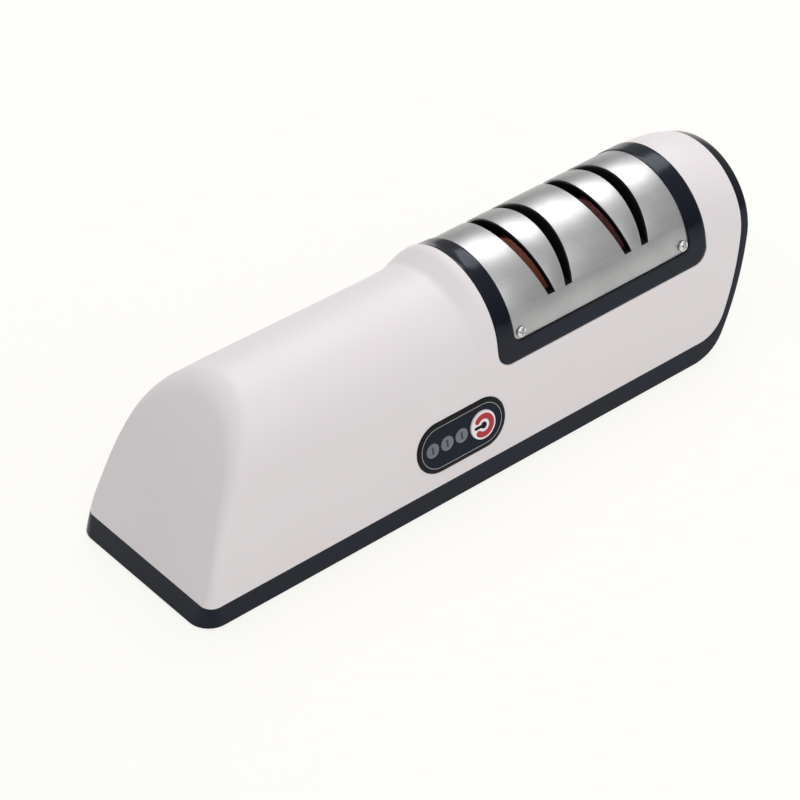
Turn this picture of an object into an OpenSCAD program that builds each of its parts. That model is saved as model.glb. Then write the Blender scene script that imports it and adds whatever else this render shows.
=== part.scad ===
// Cordless two-stage electric knife sharpener.
// Design frame: x runs from the slanted left end to the right end, y from front (-) to rear (+),
// z up from the underside of the base. place() moves it so that the feet stand on z = 0 and
// the middle of the length is at x = 0.

/* [Body] */
// Overall length, end to end
body_length = 215.3; // [208:0.1:226]
// Width of the base at its foot
base_width = 60; // [57:0.5:66]
// Lean of the long front and rear walls from upright
wall_draft = 9.73; // [8:0.01:11]
// Thickness of the moulded walls
wall = 2.2; // [1.8:0.1:2.6]
// Height of the black base strip
base_height = 6; // [5:0.1:8]
// Thickness of the base floor
floor_t = 2.2; // [1.8:0.1:2.6]
// Crown height of the handle, at its left end
handle_h = 57.1; // [54:0.1:58]
// Fall of the handle's crown along its length
handle_fall = 1.2; // [0:0.1:2]
// Crown height of the rim beside the bezel
rim_h = 60.7; // [59.8:0.1:62]
// Distance from the start of the shoulder to the bezel
shoulder_lead = 11.2; // [10.4:0.1:13]
// Length of the shoulder's rise
shoulder_run = 9; // [7:0.5:11]
// Edge radius of the slanted left end, at half its height
left_edge_r = 2.6; // [2.3:0.1:4]
// Edge radius of the left end at the foot
left_foot_r = 5; // [4:0.1:6.5]
// Edge radius of the left end at the crown
left_top_r = 7.6; // [5:0.1:9]
// Edge radius of the right end
right_edge_r = 0.8; // [0.5:0.1:1.6]
// Shift of the left face per millimetre of height
left_lean = 0.5; // [0.42:0.01:0.56]
// Bulge of the left face beyond a straight slant
left_bow = 4.1; // [2:0.1:5]
// Lean of the lower right end from upright
right_lean = 28; // [24:0.5:30]
// Lean of the upper right end from upright
top_lean = 8.2; // [5:0.1:11]
// Radius of the base's turned-up corner
base_corner_r = 19.4; // [17:0.1:22]
// Thickness of the black end wall
end_wall = 2.6; // [2.2:0.1:3.4]

/* [Cover] */
// Length of the white shell to the right of the bezel
tail_l = 19.9; // [19:0.1:21.5]
// Length of the bezel
bezel_l = 82.2; // [80:0.1:84]
// Bottom edge of the bezel
bezel_z = 32.2; // [31:0.1:34]
// Crown height of the bezel
bezel_h = 59.3; // [58.8:0.1:59.6]
// Width of the bezel's border
bezel_border = 6.2; // [5.6:0.1:7]
// Thickness of the steel cover
cover_t = 0.8; // [0.6:0.1:1]
// Depth of the cover below the bezel's face
cover_recess = 0.5; // [0.3:0.1:0.7]
// Width of the ledge that the cover lies on
ledge = 3; // [2.5:0.1:3.5]
// Thickness of the slotted guide skin
guide_t = 1.8; // [1.5:0.1:2.2]

/* [Slots and wheels] */
// Distance between the two sharpening stages
stage_pitch = 30.2; // [29:0.1:31]
// Tilt of each slot from upright
slot_tilt = 14; // [10:0.5:16]
// Distance between a stage's two slots at their lower ends
slot_gap = 6.6; // [6:0.1:8]
// Depth of the slots' lower ends below the top of the wheels
slot_dip = 2.6; // [1.2:0.1:3.4]
// Slot width at the lower ends
slot_w = 2.7; // [2:0.1:3]
// Widening of a slot per millimetre of height
slot_flare = 0.11; // [0:0.01:0.14]
// Distance from the rim of the wheels to the side of the base
wheel_room = 11.4; // [11:0.1:13]
// Width of each abrasive wheel
wheel_w = 16.6; // [14:0.1:17]
// Height of the spindle axis above the base underside
shaft_z = 30.4; // [29.8:0.1:31]
// Diameter of the spindle
spindle_d = 6; // [5:0.1:6.5]
// Diameter of the hub bodies
hub_d = 14; // [12:0.5:18]

/* [Drive] */
// Amount by which the motor can is thinner than half the base
motor_room = 2.3; // [2:0.1:5]
// Length of the motor can
motor_l = 28; // [26:0.5:29]
// Diameter of the motor shaft
motor_shaft_d = 3.17; // [2.3:0.01:4]
// Outer diameter of the spindle bearings
bearing_d = 12; // [11:0.5:13]
// Width of the spindle bearings
bearing_w = 4; // [3:0.5:4]
// Width of the base that the two battery cells leave free
cell_room = 23.2; // [22.8:0.1:26]

/* [Controls] */
// Length of the control panel
panel_l = 33.4; // [31:0.1:34]
// Width of the control panel
panel_w = 16.4; // [15.6:0.1:17]
// Distance from the panel's middle to the bezel
panel_lead = 17.1; // [16.5:0.1:18.5]
// Height of the panel's middle
panel_z = 18.5; // [17.5:0.1:19]
// Diameter of the power button
button_d = 9.2; // [8.6:0.1:9.6]
// Travel of the power button
button_travel = 0.7; // [0.4:0.05:0.9]
// Diameter of an indicator lens
lens_d = 4.7; // [4:0.1:4.9]
// Distance between the indicator lenses
lens_pitch = 5.45; // [5.1:0.05:5.6]
// Width of the charging socket's shell
port_w = 8.94; // [8.4:0.02:9.4]
// Height of the charging socket's shell
port_h = 3.26; // [3:0.02:3.4]
// Height of the charging socket's middle
port_z = 12; // [11:0.1:13]

/* [Feet and fasteners] */
// Diameter of a rubber foot
foot_d = 10; // [8:0.5:12]
// Amount that the feet stand out below the base
foot_proud = 1; // [0.6:0.1:1.6]
// Diameter of a base screw's head
base_head_d = 5.4; // [4.8:0.1:5.8]
// Diameter of a cover screw's head
cover_head_d = 3.9; // [3.5:0.1:4.3]
// Shank diameter of the small screws
screw_d = 2.2; // [1.8:0.1:2.4]

/* [Fits] */
// Gap round a piece set in an opening
fit_gap = 0.12; // [0.08:0.01:0.16]
// Gap under a seated piece
seat_gap = 0.04; // [0.02:0.01:0.06]
// Radial clearance of a turning shaft
run_gap = 0.04; // [0.02:0.01:0.08]
// Radial gap of a pressed or glued fit
press_gap = 0.02; // [0.01:0.01:0.04]

/* [Hidden] */
$fn = 48;

// Cutters: a height above everything, and a length that goes right through a piece
sky = 80;
through = 60;
// Radial clearance of a screw's shank in its pilot hole
hole_gap = 0.05;

shell_white = [0.86, 0.84, 0.83];
navy_black = [0.15, 0.16, 0.2];
steel = [0.75, 0.76, 0.78];
dark_abs = [0.2, 0.2, 0.22];

// ---- outline of the body -------------------------------------------------------------------

// The section is an arch: two drafted walls and a round crown tangent to both.
function wall_y(z) = base_width / 2 - z * tan(wall_draft);
function arch_r(h) = (base_width / 2 * cos(wall_draft) - h * sin(wall_draft)) / (1 - sin(wall_draft));
wall_steps = 9;
arc_steps = 16;

// Half of an arch of crown height h: each point's y and z, and its move per millimetre of inset
function arch_points(h) =
    let (r = arch_r(h), zc = h - r, z_top = zc + r * sin(wall_draft))
    concat(
        [for (i = [0 : wall_steps - 1])
            let (z = z_top * pow(i / wall_steps, 1.5))
            [wall_y(z), z, 1 / cos(wall_draft), 0]],
        [for (i = [0 : arc_steps])
            let (a = wall_draft + (90 - wall_draft) * i / arc_steps)
            [r * cos(a), zc + r * sin(a), cos(a), sin(a)]]);

function half_arch(h, inset) = [for (p = arch_points(h)) [p[0] - inset * p[2], p[1] - inset * p[3]]];
function mirrored(half) = concat(half, [for (i = [len(half) - 2 : -1 : 0]) [-half[i][0], half[i][1]]]);

function blend(t) = t * t * (3 - 2 * t);
function ramp(z, z0, z1) = blend(min(1, max(0, (z - z0) / (z1 - z0))));

// Side view of the left end: a slanted face that bulges most above half its height
bow_power = 1.41;
function left_x(z) = left_lean * z - left_bow * sin(180 * pow(min(z, handle_h) / handle_h, bow_power));

// Edge radius of the left end: soft at the foot and towards the crown, crisp between
foot_soft_z = 16;
crisp_z = 26;
crown_soft_z = 50;
function left_edge(z) = left_edge_r
    + (left_foot_r - left_edge_r) * pow(max(0, 1 - z / foot_soft_z), 2)
    + (left_top_r - left_edge_r) * ramp(z, crisp_z, crown_soft_z);

// Side view of the right end: corner arc, leaning line, wide arc, steeper line to the crown. The
// black base strip and the white shell above it share this form, at different offsets from the end.
upper_r = 80;
upper_z = 41;
end_top_z = 54.4;
function end_x(z, offset, z0, corner_r) =
    let (x_upper = body_length - offset - (end_top_z - upper_z) * tan(top_lean),
         x_mid = x_upper - upper_r * cos(top_lean),
         z_mid = upper_z + upper_r * sin(top_lean),
         x_line = x_mid + upper_r * cos(right_lean),
         z_line = z_mid - upper_r * sin(right_lean),
         z_corner = z0 + corner_r * (1 - sin(right_lean)),
         x_corner = x_line - (z_line - z_corner) * tan(right_lean) - corner_r * cos(right_lean))
    z > upper_z ? x_upper + (z - upper_z) * tan(top_lean) :
    z > z_line ? x_mid + sqrt(upper_r * upper_r - pow(z_mid - z, 2)) :
    z > z_corner ? x_line - (z_line - z) * tan(right_lean) :
    x_corner + sqrt(max(0, corner_r * corner_r - pow(z0 + corner_r - z, 2)));
function right_x(z, offset) = end_x(z, offset, 0, base_corner_r);

// Crown height along the body
bezel_x1 = body_length - tail_l;
bezel_x = bezel_x1 - bezel_l;
shoulder_x = bezel_x - shoulder_lead;
rim_x = shoulder_x + shoulder_run;
fall_x = 40;
tail_h = bezel_h - 0.4;
tail_fall = 0.0114;
function crown_h(x) =
    x < shoulder_x ? handle_h - handle_fall * max(0, x - fall_x) / (shoulder_x - fall_x) :
    x < rim_x ? let (h0 = handle_h - handle_fall)
                h0 + (rim_h - h0) * blend((x - shoulder_x) / shoulder_run) :
    x < bezel_x ? rim_h :
    x < bezel_x1 ? rim_h + (tail_h - rim_h) * (x - bezel_x) / bezel_l :
    tail_h - tail_fall * pow(x - bezel_x1, 2);

// Stations of the loft: rounded left edge, straight handle, shoulder, straight run, right end
round_steps = 5;
shoulder_steps = 6;
bend_x = bezel_x + bezel_l * 0.63;
mid_x = concat([fall_x + 2, (fall_x + shoulder_x) / 2],
               [for (i = [0 : shoulder_steps]) shoulder_x + shoulder_run * i / shoulder_steps],
               [bezel_x, bend_x]);
blend_t = [0.35, 0.6, 0.8, 0.92];
stations = concat(
    [for (i = [0 : round_steps]) ["left", i]],
    [for (x = mid_x) ["mid", x]],
    [for (t = blend_t) ["blend", t]],
    [for (i = [round_steps : -1 : 0]) ["right", i]]);

// Inward and lengthwise parts of a rounded edge, from 1 and 0 at its end face to 0 and 1
function round_in(i) = 1 - sin(90 * i / round_steps);
function round_along(i) = 1 - cos(90 * i / round_steps);

// Radius left of the left end's rounded edge, for a loft that is inset
function left_r(z, inset) = max(1.5, left_edge(z) - inset);

// x of a station at height z, for a loft inset all round and by right_off more at the right
function station_x(s, z, inset, right_off) =
    let (xl = left_x(z) + inset * sqrt(1 + left_lean * left_lean),
         xr = right_x(z, inset + right_off) - right_edge_r)
    s[0] == "left" ? xl + left_r(z, inset) * round_along(s[1]) :
    s[0] == "mid" ? s[1] :
    s[0] == "blend" ? bend_x + s[1] * (xr - bend_x) :
    xr + right_edge_r * (1 - round_along(s[1]));

function station_inset(s, z, inset) =
    inset + (s[0] == "left" ? left_r(z, inset) : s[0] == "right" ? right_edge_r : 0) * round_in(s[1]);

// Crown height of a station, taken where it crosses the ridge
ridge_z = 55;
function station_h(s, inset, right_off) =
    s[0] == "left" ? handle_h : crown_h(station_x(s, ridge_z, inset, right_off));

function body_ring(s, inset, right_off) =
    [for (p = arch_points(station_h(s, inset, right_off)))
        let (e = station_inset(s, p[1], inset), y = p[0] - e * p[2], z = p[1] - e * p[3])
        [station_x(s, z, inset, right_off), y, z]];

function body_rings(inset, right_off) =
    [for (s = stations)
        let (half = body_ring(s, inset, right_off))
        concat(half, [for (i = [len(half) - 2 : -1 : 0]) [half[i][0], -half[i][1], half[i][2]]])];

// Solid between rings of equally many points; each end is closed by strips across it
module loft(rings) {
    n = len(rings[0]);
    last = len(rings) - 1;
    sides = [for (i = [0 : last - 1]) for (j = [0 : n - 1])
        let (a = i * n + j, b = i * n + (j + 1) % n, c = a + n, d = b + n)
        each [[a, c, b], [b, c, d]]];
    function strips(base, flip) =
        [for (j = [0 : (n - 1) / 2 - 1])
            let (a = base + j, b = base + j + 1, c = base + n - 2 - j, d = base + n - 1 - j)
            each (b == c ? [flip ? [a, d, b] : [a, b, d]]
                         : flip ? [[a, d, b], [b, d, c]] : [[a, b, d], [b, c, d]])];
    polyhedron(points = [for (r = rings) each r],
               faces = concat(sides, strips(0, false), strips(last * n, true)), convexity = 6);
}

module body(inset = 0, right_off = 0) loft(body_rings(inset, right_off));

// Turns an outline in the side view (x, z) into a prism right across the body
module side_prism(points)
    rotate([90, 0, 0]) linear_extrude(base_width + 20, center = true) polygon(points);

// A straight stretch of arch between x0 and x1
module arch_bar(x0, x1, h, inset)
    translate([x0, 0, 0]) rotate([90, 0, 90]) linear_extrude(x1 - x0)
        polygon(mirrored(half_arch(h, inset)));

// Rectangle whose two lower corners are round, open at the top
function u_outline(x0, x1, z0, z1, r) = concat(
    [[x0, z1]],
    [for (i = [0 : 6]) [x0 + r - r * cos(15 * i), z0 + r - r * sin(15 * i)]],
    [for (i = [6 : -1 : 0]) [x1 - r + r * cos(15 * i), z0 + r - r * sin(15 * i)]],
    [[x1, z1]]);

// Everything above the black base strip and left of the black end wall
shell_corner_r = 9;
end_steps = 30;
module above_base()
    side_prism(concat(
        [[-20, base_height]],
        [for (i = [0 : end_steps])
            let (z = base_height + (sky - base_height) * pow(i / end_steps, 1.6))
            [end_x(z, end_wall, base_height, shell_corner_r), z]],
        [[-20, sky]]));

module place() translate([-body_length / 2, 0, foot_proud]) children();
module at_axis(x) translate([x, 0, shaft_z]) rotate([0, 90, 0]) children();
// Local frame on a long wall: z out of the wall, y up along it
module on_front(x, z) translate([x, -wall_y(z), z]) rotate([90 - wall_draft, 0, 0]) children();
module mirror_y() { children(); mirror([0, 1, 0]) children(); }

// ---- places shared by several pieces -------------------------------------------------------

cover_x = bezel_x + bezel_border;
cover_x1 = bezel_x1 - bezel_border;
cover_z = bezel_z + bezel_border * cos(wall_draft);
cover_mid = (cover_x + cover_x1) / 2;
cover_in = cover_recess + cover_t;          // underside of the steel cover, below the bezel face
stage_x = [cover_mid - stage_pitch / 2, cover_mid + stage_pitch / 2];
screw_x = [cover_x + 2.6, cover_x1 - 2.9];
cover_screw_z = cover_z + 2.3;

chassis_z = floor_t;
chassis_t = 2;
deck_z = chassis_z + chassis_t;
chassis_w = base_width / 2 + 4;

// Wheels, and the slots whose lower ends reach into their grooves
wheel_r = base_width / 2 - wheel_room;
slot_z = shaft_z + wheel_r - slot_dip;

// The drive line, from the wheels back to the motor, and the cells in the room that is left
bracket_t = 1.5;
boss_r = 5;
boss_l = 1.1;
bearing_x = [stage_x[0] - wheel_w / 2 - bearing_w - 1.7, stage_x[1] + wheel_w / 2 + 4.6];
bearing_r = bearing_d / 2;
coupler_l = 6.7;
coupler_r = 5;
coupler_x1 = bearing_x[0] - 0.9;
coupler_x = coupler_x1 - coupler_l;
motor_d = base_width / 2 - motor_room;
motor_x1 = coupler_x - bracket_t - 1.4;
motor_x = motor_x1 - motor_l;
spindle_x = (coupler_x + coupler_x1) / 2 + 0.3;
spindle_x1 = bearing_x[1] + bearing_w + 1.5;
nut_w = 3;
nut_d = 11;
cell_d = (base_width - cell_room) / 2;
cell_z = deck_z + 0.3 + cell_d / 2;
cell_y = cell_d / 2 + 0.2;
cell_x = left_x(cell_z + cell_d / 2) + wall * sqrt(1 + left_lean * left_lean) + 0.9;

foot_x = [16, body_length - 51];
foot_y = base_width / 2 - 9;
foot_sunk = 0.6;
post_x = [30, body_length - 37];
post_y = base_width / 2 - 6.8;
post_r = 3.2;
post_l = 12;
head_depth = 2.4;
cap_y = bearing_r + 1.7;

// Panel stack, measured inwards along the wall's normal
panel_proud = 0.35;
flange_t = 1;
flange_w = 1.2;
panel_back = wall + seat_gap + flange_t;
board_top = 9.2;
board_t = 1.6;
board_w = 14;
panel_x = bezel_x - panel_lead;
button_x = panel_l / 2 - panel_w / 2;
lens_x = [for (i = [0 : 2]) (i - 2) * lens_pitch];
board_post = [-panel_l / 2 + 1.8, panel_l / 2 - 0.4];
board_post_r = 1.4;
board_margin = 1.6;
board_x = panel_x + board_post[0] - board_margin;

// The cells end short of the motor's terminals and of the control board
cell_x1 = min(motor_x - 5.6, board_x - 0.5);
cell_l = cell_x1 - cell_x;

button_flange = 0.8;
button_back = panel_back + seat_gap + button_flange;
plunger_d = 3.5;
plunger_room = 0.25;

board_head_d = 3;
board_head_h = 1.2;
board_shank_d = 1.4;
board_shank_l = 5;
lens_gap = 0.03;
lens_deep = 0.8;
film_inset = 1.45;
film_deep = 0.3;
module stadium(l, w, z0, z1)
    translate([0, 0, z0]) linear_extrude(z1 - z0)
        polygon([for (s = [1, -1]) for (i = [0 : 12])
            let (a = -90 + 15 * i)
            s * [(l - w) / 2 + w / 2 * cos(a), w / 2 * sin(a)]]);

// ---- housing -------------------------------------------------------------------------------

module cavity() intersection() {
    body(wall, end_wall);
    translate([-20, -base_width, floor_t]) cube([body_length + 40, 2 * base_width, sky]);
}

bezel_corner_r = 5;
cover_corner_r = 2.6;
module window(gap)
    side_prism(u_outline(bezel_x - gap, bezel_x1 + gap, bezel_z - gap, sky, bezel_corner_r + gap));

module housing_post(x) translate([x, post_y, base_height]) cylinder(r = post_r, h = post_l);

module top_housing() color(shell_white) place() difference() {
    union() {
        difference() {
            intersection() { body(); above_base(); }
            cavity();
        }
        mirror_y() for (x = post_x) housing_post(x);
    }
    window(0);
    on_front(panel_x, panel_z) stadium(panel_l, panel_w, -wall - 2, 3);
    translate([panel_x, wall_y(port_z) - wall - 2, port_z]) rotate([-90, 0, 0])
        stadium(port_w + 0.8, port_h + 0.8, 0, wall + 5);
    mirror_y() for (x = post_x)
        translate([x, post_y, base_height - 1]) cylinder(d = screw_d + 2 * hole_gap, h = 10);
}

module base_cover() color(navy_black) place() difference() {
    union() {
        difference() {
            body();
            above_base();
            cavity();
        }
        mirror_y() for (x = post_x)
            translate([x, post_y, floor_t / 2])
                cylinder(r = post_r + 0.6, h = base_height - floor_t / 2 - seat_gap);
    }
    mirror_y() for (x = post_x) translate([x, post_y, -1]) {
        cylinder(d = base_head_d + 0.4, h = 1 + head_depth);
        cylinder(d = screw_d + 0.6, h = through);
    }
    mirror_y() for (x = foot_x) translate([x, foot_y, -1])
        cylinder(d = foot_d + 0.2, h = 1 + foot_sunk + press_gap);
}

module rubber_feet() color([0.12, 0.12, 0.13]) place() mirror_y() for (x = foot_x)
    translate([x, foot_y, -foot_proud]) rotate_extrude()
        polygon([[0, 0], [foot_d / 2 - 0.5, 0], [foot_d / 2, 0.5],
                 [foot_d / 2, foot_proud + foot_sunk], [0, foot_proud + foot_sunk]]);

base_head_h = 1.8;
base_shank_l = 11;
cross_l = 3;
cross_w = 0.7;
module cross(l, w, h) for (a = [0, 90]) rotate(a) translate([-l / 2, -w / 2, 0]) cube([l, w, h]);

module base_screws() color(steel) place() mirror_y() for (x = post_x)
    translate([x, post_y, head_depth - base_head_h - seat_gap]) {
        difference() {
            cylinder(d = base_head_d, h = base_head_h);
            translate([0, 0, -1]) cross(cross_l, cross_w, base_head_h);
        }
        translate([0, 0, base_head_h - 0.1]) cylinder(d = screw_d, h = base_shank_l);
    }

// ---- slotted cover -------------------------------------------------------------------------

// One slot's wedge in the side view, leaning by side * slot_tilt
function slot_outline(x, side) =
    let (h = sky - slot_z, lean = h * tan(slot_tilt), w0 = slot_w / 2, w1 = w0 + slot_flare * h / 2,
         x0 = x + side * (slot_gap / 2))
    [[x0 - w0, slot_z], [x0 + w0, slot_z],
     [x0 + side * lean + w1, slot_z + h], [x0 + side * lean - w1, slot_z + h]];

module slots() for (x = stage_x) for (side = [-1, 1]) side_prism(slot_outline(x, side));

module cover_holes(d) mirror_y() for (x = screw_x) on_front(x, cover_screw_z)
    translate([0, 0, -12]) cylinder(d = d, h = 16);

module cover_outline(grow) side_prism(u_outline(
    cover_x - grow, cover_x1 + grow, cover_z - grow, sky, cover_corner_r + grow));

module slot_cover() color(steel) place() difference() {
    intersection() {
        arch_bar(cover_x - 1, cover_x1 + 1, bezel_h, cover_recess);
        cover_outline(0);
    }
    arch_bar(cover_x - 2, cover_x1 + 2, bezel_h, cover_in);
    slots();
    cover_holes(screw_d + 0.2);
}

module slot_bezel() color(navy_black) place() {
    rise_x = cover_x - 0.6;
    difference() {
        union() {
            intersection() {
                difference() {
                    loft([for (s = [[bezel_x - 1, rim_h], [bezel_x, rim_h - 0.1],
                                    [rise_x, bezel_h], [bezel_x1 + 1, bezel_h - 0.4]])
                        [for (p = mirrored(half_arch(s[1], 0))) [s[0], p[0], p[1]]]]);
                    arch_bar(bezel_x - 2, bezel_x1 + 2, bezel_h, wall + seat_gap + 0.3);
                }
                window(-fit_gap);
            }
            intersection() {
                difference() {
                    arch_bar(bezel_x - 5, bezel_x1 + 5, bezel_h, wall + seat_gap);
                    arch_bar(bezel_x - 6, bezel_x1 + 6, bezel_h, wall + seat_gap + lip_t);
                }
                side_prism(u_outline(bezel_x - lip, bezel_x1 + lip, bezel_z - lip, sky,
                                     bezel_corner_r + lip));
                side_prism([[bezel_x - 9, bezel_z - 5], [bezel_x1 + 9, bezel_z - 5],
                            [bezel_x1 + 9, bezel_z + 6.5], [bezel_x - 9, bezel_z + 6.5]]);
            }
        }
        intersection() {
            cover_outline(fit_gap);
            difference() {
                arch_bar(cover_x - 1, cover_x1 + 1, bezel_h + 4, -4);
                arch_bar(cover_x - 2, cover_x1 + 2, bezel_h, cover_in + seat_gap);
            }
        }
        side_prism(u_outline(cover_x + ledge, cover_x1 - ledge, cover_z + ledge, sky, opening_r));
        cover_holes(screw_d + 0.2);
    }
}

lip = 1.6;
lip_t = 1.4;
guide_top = cover_in + 2 * seat_gap;
flange_top = wall + lip_t + 3 * seat_gap;
flange_d = 1.6;
boss_depth = 8.6;
opening_r = 8;
rim_w = 2.4;
module knife_guide() color(dark_abs) place() difference() {
    union() {
        intersection() {
            difference() {
                arch_bar(cover_x, cover_x1, bezel_h, guide_top);
                arch_bar(cover_x - 1, cover_x1 + 1, bezel_h, flange_top + flange_d);
            }
            side_prism(u_outline(cover_x + ledge + fit_gap, cover_x1 - ledge - fit_gap,
                                 cover_z + ledge + fit_gap, sky, opening_r));
        }
        intersection() {
            difference() {
                arch_bar(cover_x, cover_x1, bezel_h, flange_top);
                arch_bar(cover_x - 1, cover_x1 + 1, bezel_h, flange_top + flange_d);
            }
            cover_outline(-0.4);
        }
        intersection() {
            arch_bar(cover_x, cover_x1, bezel_h, flange_top + 1);
            mirror_y() for (x = screw_x) on_front(x, cover_screw_z)
                translate([0, 0, -boss_depth]) cylinder(d = screw_d + 3, h = boss_depth + 1);
        }
        guide_fences();
    }
    difference() {
        side_prism(u_outline(cover_x + ledge + rim_w, cover_x1 - ledge - rim_w,
                             cover_z + ledge + rim_w, sky, opening_r - 2));
        difference() {
            arch_bar(cover_x - 2, cover_x1 + 2, bezel_h + 9, -9);
            arch_bar(cover_x - 3, cover_x1 + 3, bezel_h, guide_top + guide_t);
        }
        guide_fences();
    }
    slots();
    cover_holes(screw_d + 2 * hole_gap);
}

// A crescent wall beside each slot, on the side away from its wheel
module guide_fences() {
    fence_t = 1.6;
    intersection() {
        difference() {
            arch_bar(cover_x + 1, cover_x1 - 1, bezel_h, guide_top + guide_t / 2);
            at_axis(0) cylinder(r = wheel_r + 0.9, h = body_length);
            translate([0, -base_width / 2, 0]) cube([body_length, base_width, slot_z - 2]);
        }
        for (x = stage_x) for (side = [-1, 1]) let (
            h = sky - slot_z + 4, lean = h * tan(slot_tilt),
            near = slot_w / 2 - slot_flare * 2, far = near + fence_t,
            x0 = x + side * (slot_gap / 2 - 4 * tan(slot_tilt)), grow = slot_flare * h / 2)
            side_prism([[x0 + side * near, slot_z - 4], [x0 + side * far, slot_z - 4],
                        [x0 + side * (lean + far + grow), slot_z - 4 + h],
                        [x0 + side * (lean + near + grow), slot_z - 4 + h]]);
    }
}

cover_head_h = 1.1;
cover_shank_l = 7;
module cover_screws() color(steel) place() mirror_y() for (x = screw_x)
    on_front(x, cover_screw_z) translate([0, 0, -cover_recess + 0.12]) difference() {
        union() {
            rotate_extrude() polygon([[0, 0], [cover_head_d / 2, 0], [cover_head_d / 2, 0.35],
                                      [cover_head_d / 2 - 0.6, 0.95], [0, cover_head_h]]);
            translate([0, 0, -cover_shank_l]) cylinder(d = screw_d, h = cover_shank_l + 0.2);
        }
        translate([0, 0, cover_head_h / 2]) cross(2.2, 0.5, 1);
    }

// ---- controls ------------------------------------------------------------------------------

module control_panel() color(navy_black) place() on_front(panel_x, panel_z) difference() {
    union() {
        stadium(panel_l - 2 * fit_gap, panel_w - 2 * fit_gap, -panel_back, panel_proud);
        stadium(panel_l + 2 * flange_w, panel_w + 2 * flange_w, -panel_back, -wall - seat_gap);
        for (x = board_post) translate([x, 0, -board_top + seat_gap])
            cylinder(r = board_post_r, h = board_top - panel_back + 0.2);
    }
    stadium(panel_l - 2 * film_inset, panel_w - 2 * film_inset, panel_proud - film_deep, panel_proud + 1);
    translate([button_x, 0, -through / 2]) cylinder(d = button_d + 2 * fit_gap, h = through);
    for (x = lens_x) translate([x, 0, -panel_back - 1]) cylinder(d = lens_d + 2 * lens_gap, h = 8);
    for (x = board_post) translate([x, 0, -board_top - 1])
        cylinder(d = board_shank_d + 2 * hole_gap, h = board_shank_l + 1);
}

module panel_overlay() color([0.13, 0.15, 0.2]) place() on_front(panel_x, panel_z) difference() {
    stadium(panel_l - 2 * film_inset - 0.2, panel_w - 2 * film_inset - 0.2,
            panel_proud - film_deep + seat_gap / 2, panel_proud - 0.03);
    translate([button_x, 0, -through / 2]) cylinder(d = button_d + 2 * fit_gap, h = through);
    for (x = lens_x) translate([x, 0, -through / 2]) cylinder(d = lens_d + 2 * lens_gap, h = through);
}

module power_button() color([0.92, 0.9, 0.91]) place() on_front(panel_x, panel_z)
    translate([button_x, 0, 0]) rotate_extrude()
        polygon([[0, -button_back], [button_d / 2 + 0.8, -button_back],
                 [button_d / 2 + 0.8, -button_back + button_flange],
                 [button_d / 2, -button_back + button_flange], [button_d / 2, panel_proud + 0.25],
                 [button_d / 2 - 0.35, panel_proud + 0.55], [0, panel_proud + 0.55]]);

module indicator_lenses() color([0.62, 0.64, 0.67]) place() on_front(panel_x, panel_z)
    for (x = lens_x) translate([x, 0, -panel_back - lens_deep])
        cylinder(d = lens_d, h = panel_back + lens_deep + panel_proud);

module control_board() color([0.1, 0.35, 0.2]) place() on_front(panel_x, panel_z) difference() {
    translate([board_post[0] - board_margin, -board_w / 2, -board_top - board_t])
        cube([board_post[1] - board_post[0] + 2 * board_margin, board_w, board_t]);
    for (x = board_post) translate([x, 0, -through]) cylinder(d = board_shank_d + 0.3, h = through);
}

module board_screws() color(steel) place() on_front(panel_x, panel_z) for (x = board_post)
    translate([x, 0, -board_top - board_t - seat_gap]) {
        translate([0, 0, -board_head_h]) cylinder(d = board_head_d, h = board_head_h);
        cylinder(d = board_shank_d, h = board_shank_l);
    }

switch_w = 6;
switch_h = 3.5;
module tact_switch() color([0.25, 0.25, 0.27]) place() on_front(panel_x, panel_z)
    translate([button_x, 0, 0]) difference() {
        translate([-switch_w / 2, -switch_w / 2, -board_top + seat_gap]) cube([switch_w, switch_w, switch_h]);
        translate([0, 0, -board_top - 1]) cylinder(d = plunger_d + 2 * run_gap, h = switch_h + 2);
    }

module switch_plunger() color([0.55, 0.1, 0.1]) place() on_front(panel_x, panel_z)
    translate([button_x, 0, -board_top + button_travel + plunger_room])
        cylinder(d = plunger_d, h = board_top - button_travel - plunger_room - button_back - seat_gap);

module indicator_leds() color([0.85, 0.9, 0.95]) place() on_front(panel_x, panel_z) for (x = lens_x)
    translate([x, 0, -board_top + seat_gap]) rotate_extrude()
        polygon([[0, 0], [1.9, 0], [1.9, 0.8], [1.5, 0.8], [1.5, 3], [1.1, 3.9], [0, 4.3]]);

// ---- charging ------------------------------------------------------------------------------

port_y1 = wall_y(port_z) - 0.4;
port_l = 7.4;
port_wall = 0.3;
port_back = 0.8;
module charge_port() color(steel) place() translate([panel_x, port_y1 - port_l, port_z])
    rotate([-90, 0, 0]) difference() {
        stadium(port_w, port_h, 0, port_l);
        stadium(port_w - 2 * port_wall, port_h - 2 * port_wall, port_back, port_l + 1);
    }

tongue_w = 6.7;
tongue_l = 5;
tongue_t = 0.7;
module charge_contacts() color([0.1, 0.1, 0.11]) place()
    translate([panel_x - tongue_w / 2, port_y1 - port_l + port_back + seat_gap, port_z - tongue_t / 2])
        cube([tongue_w, tongue_l, tongue_t]);

charge_board_y = base_width / 2 - 16.3;
charge_board_t = 1.2;
charge_board_l = 16;
pin_x = 5.5;
charge_board_z = port_z - port_h / 2 - charge_board_t - seat_gap;
pin_y = charge_board_y + 1.7;
pin_d = 1.3;
module charge_board() color([0.1, 0.35, 0.2]) place() difference() {
    translate([panel_x - charge_board_l / 2, charge_board_y, charge_board_z])
        cube([charge_board_l, wall_y(port_z) - wall - 0.7 - charge_board_y, charge_board_t]);
    for (s = [-1, 1]) translate([panel_x + s * pin_x, pin_y, 0]) cylinder(d = pin_d + 0.2, h = through);
}

// ---- power ---------------------------------------------------------------------------------

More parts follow.
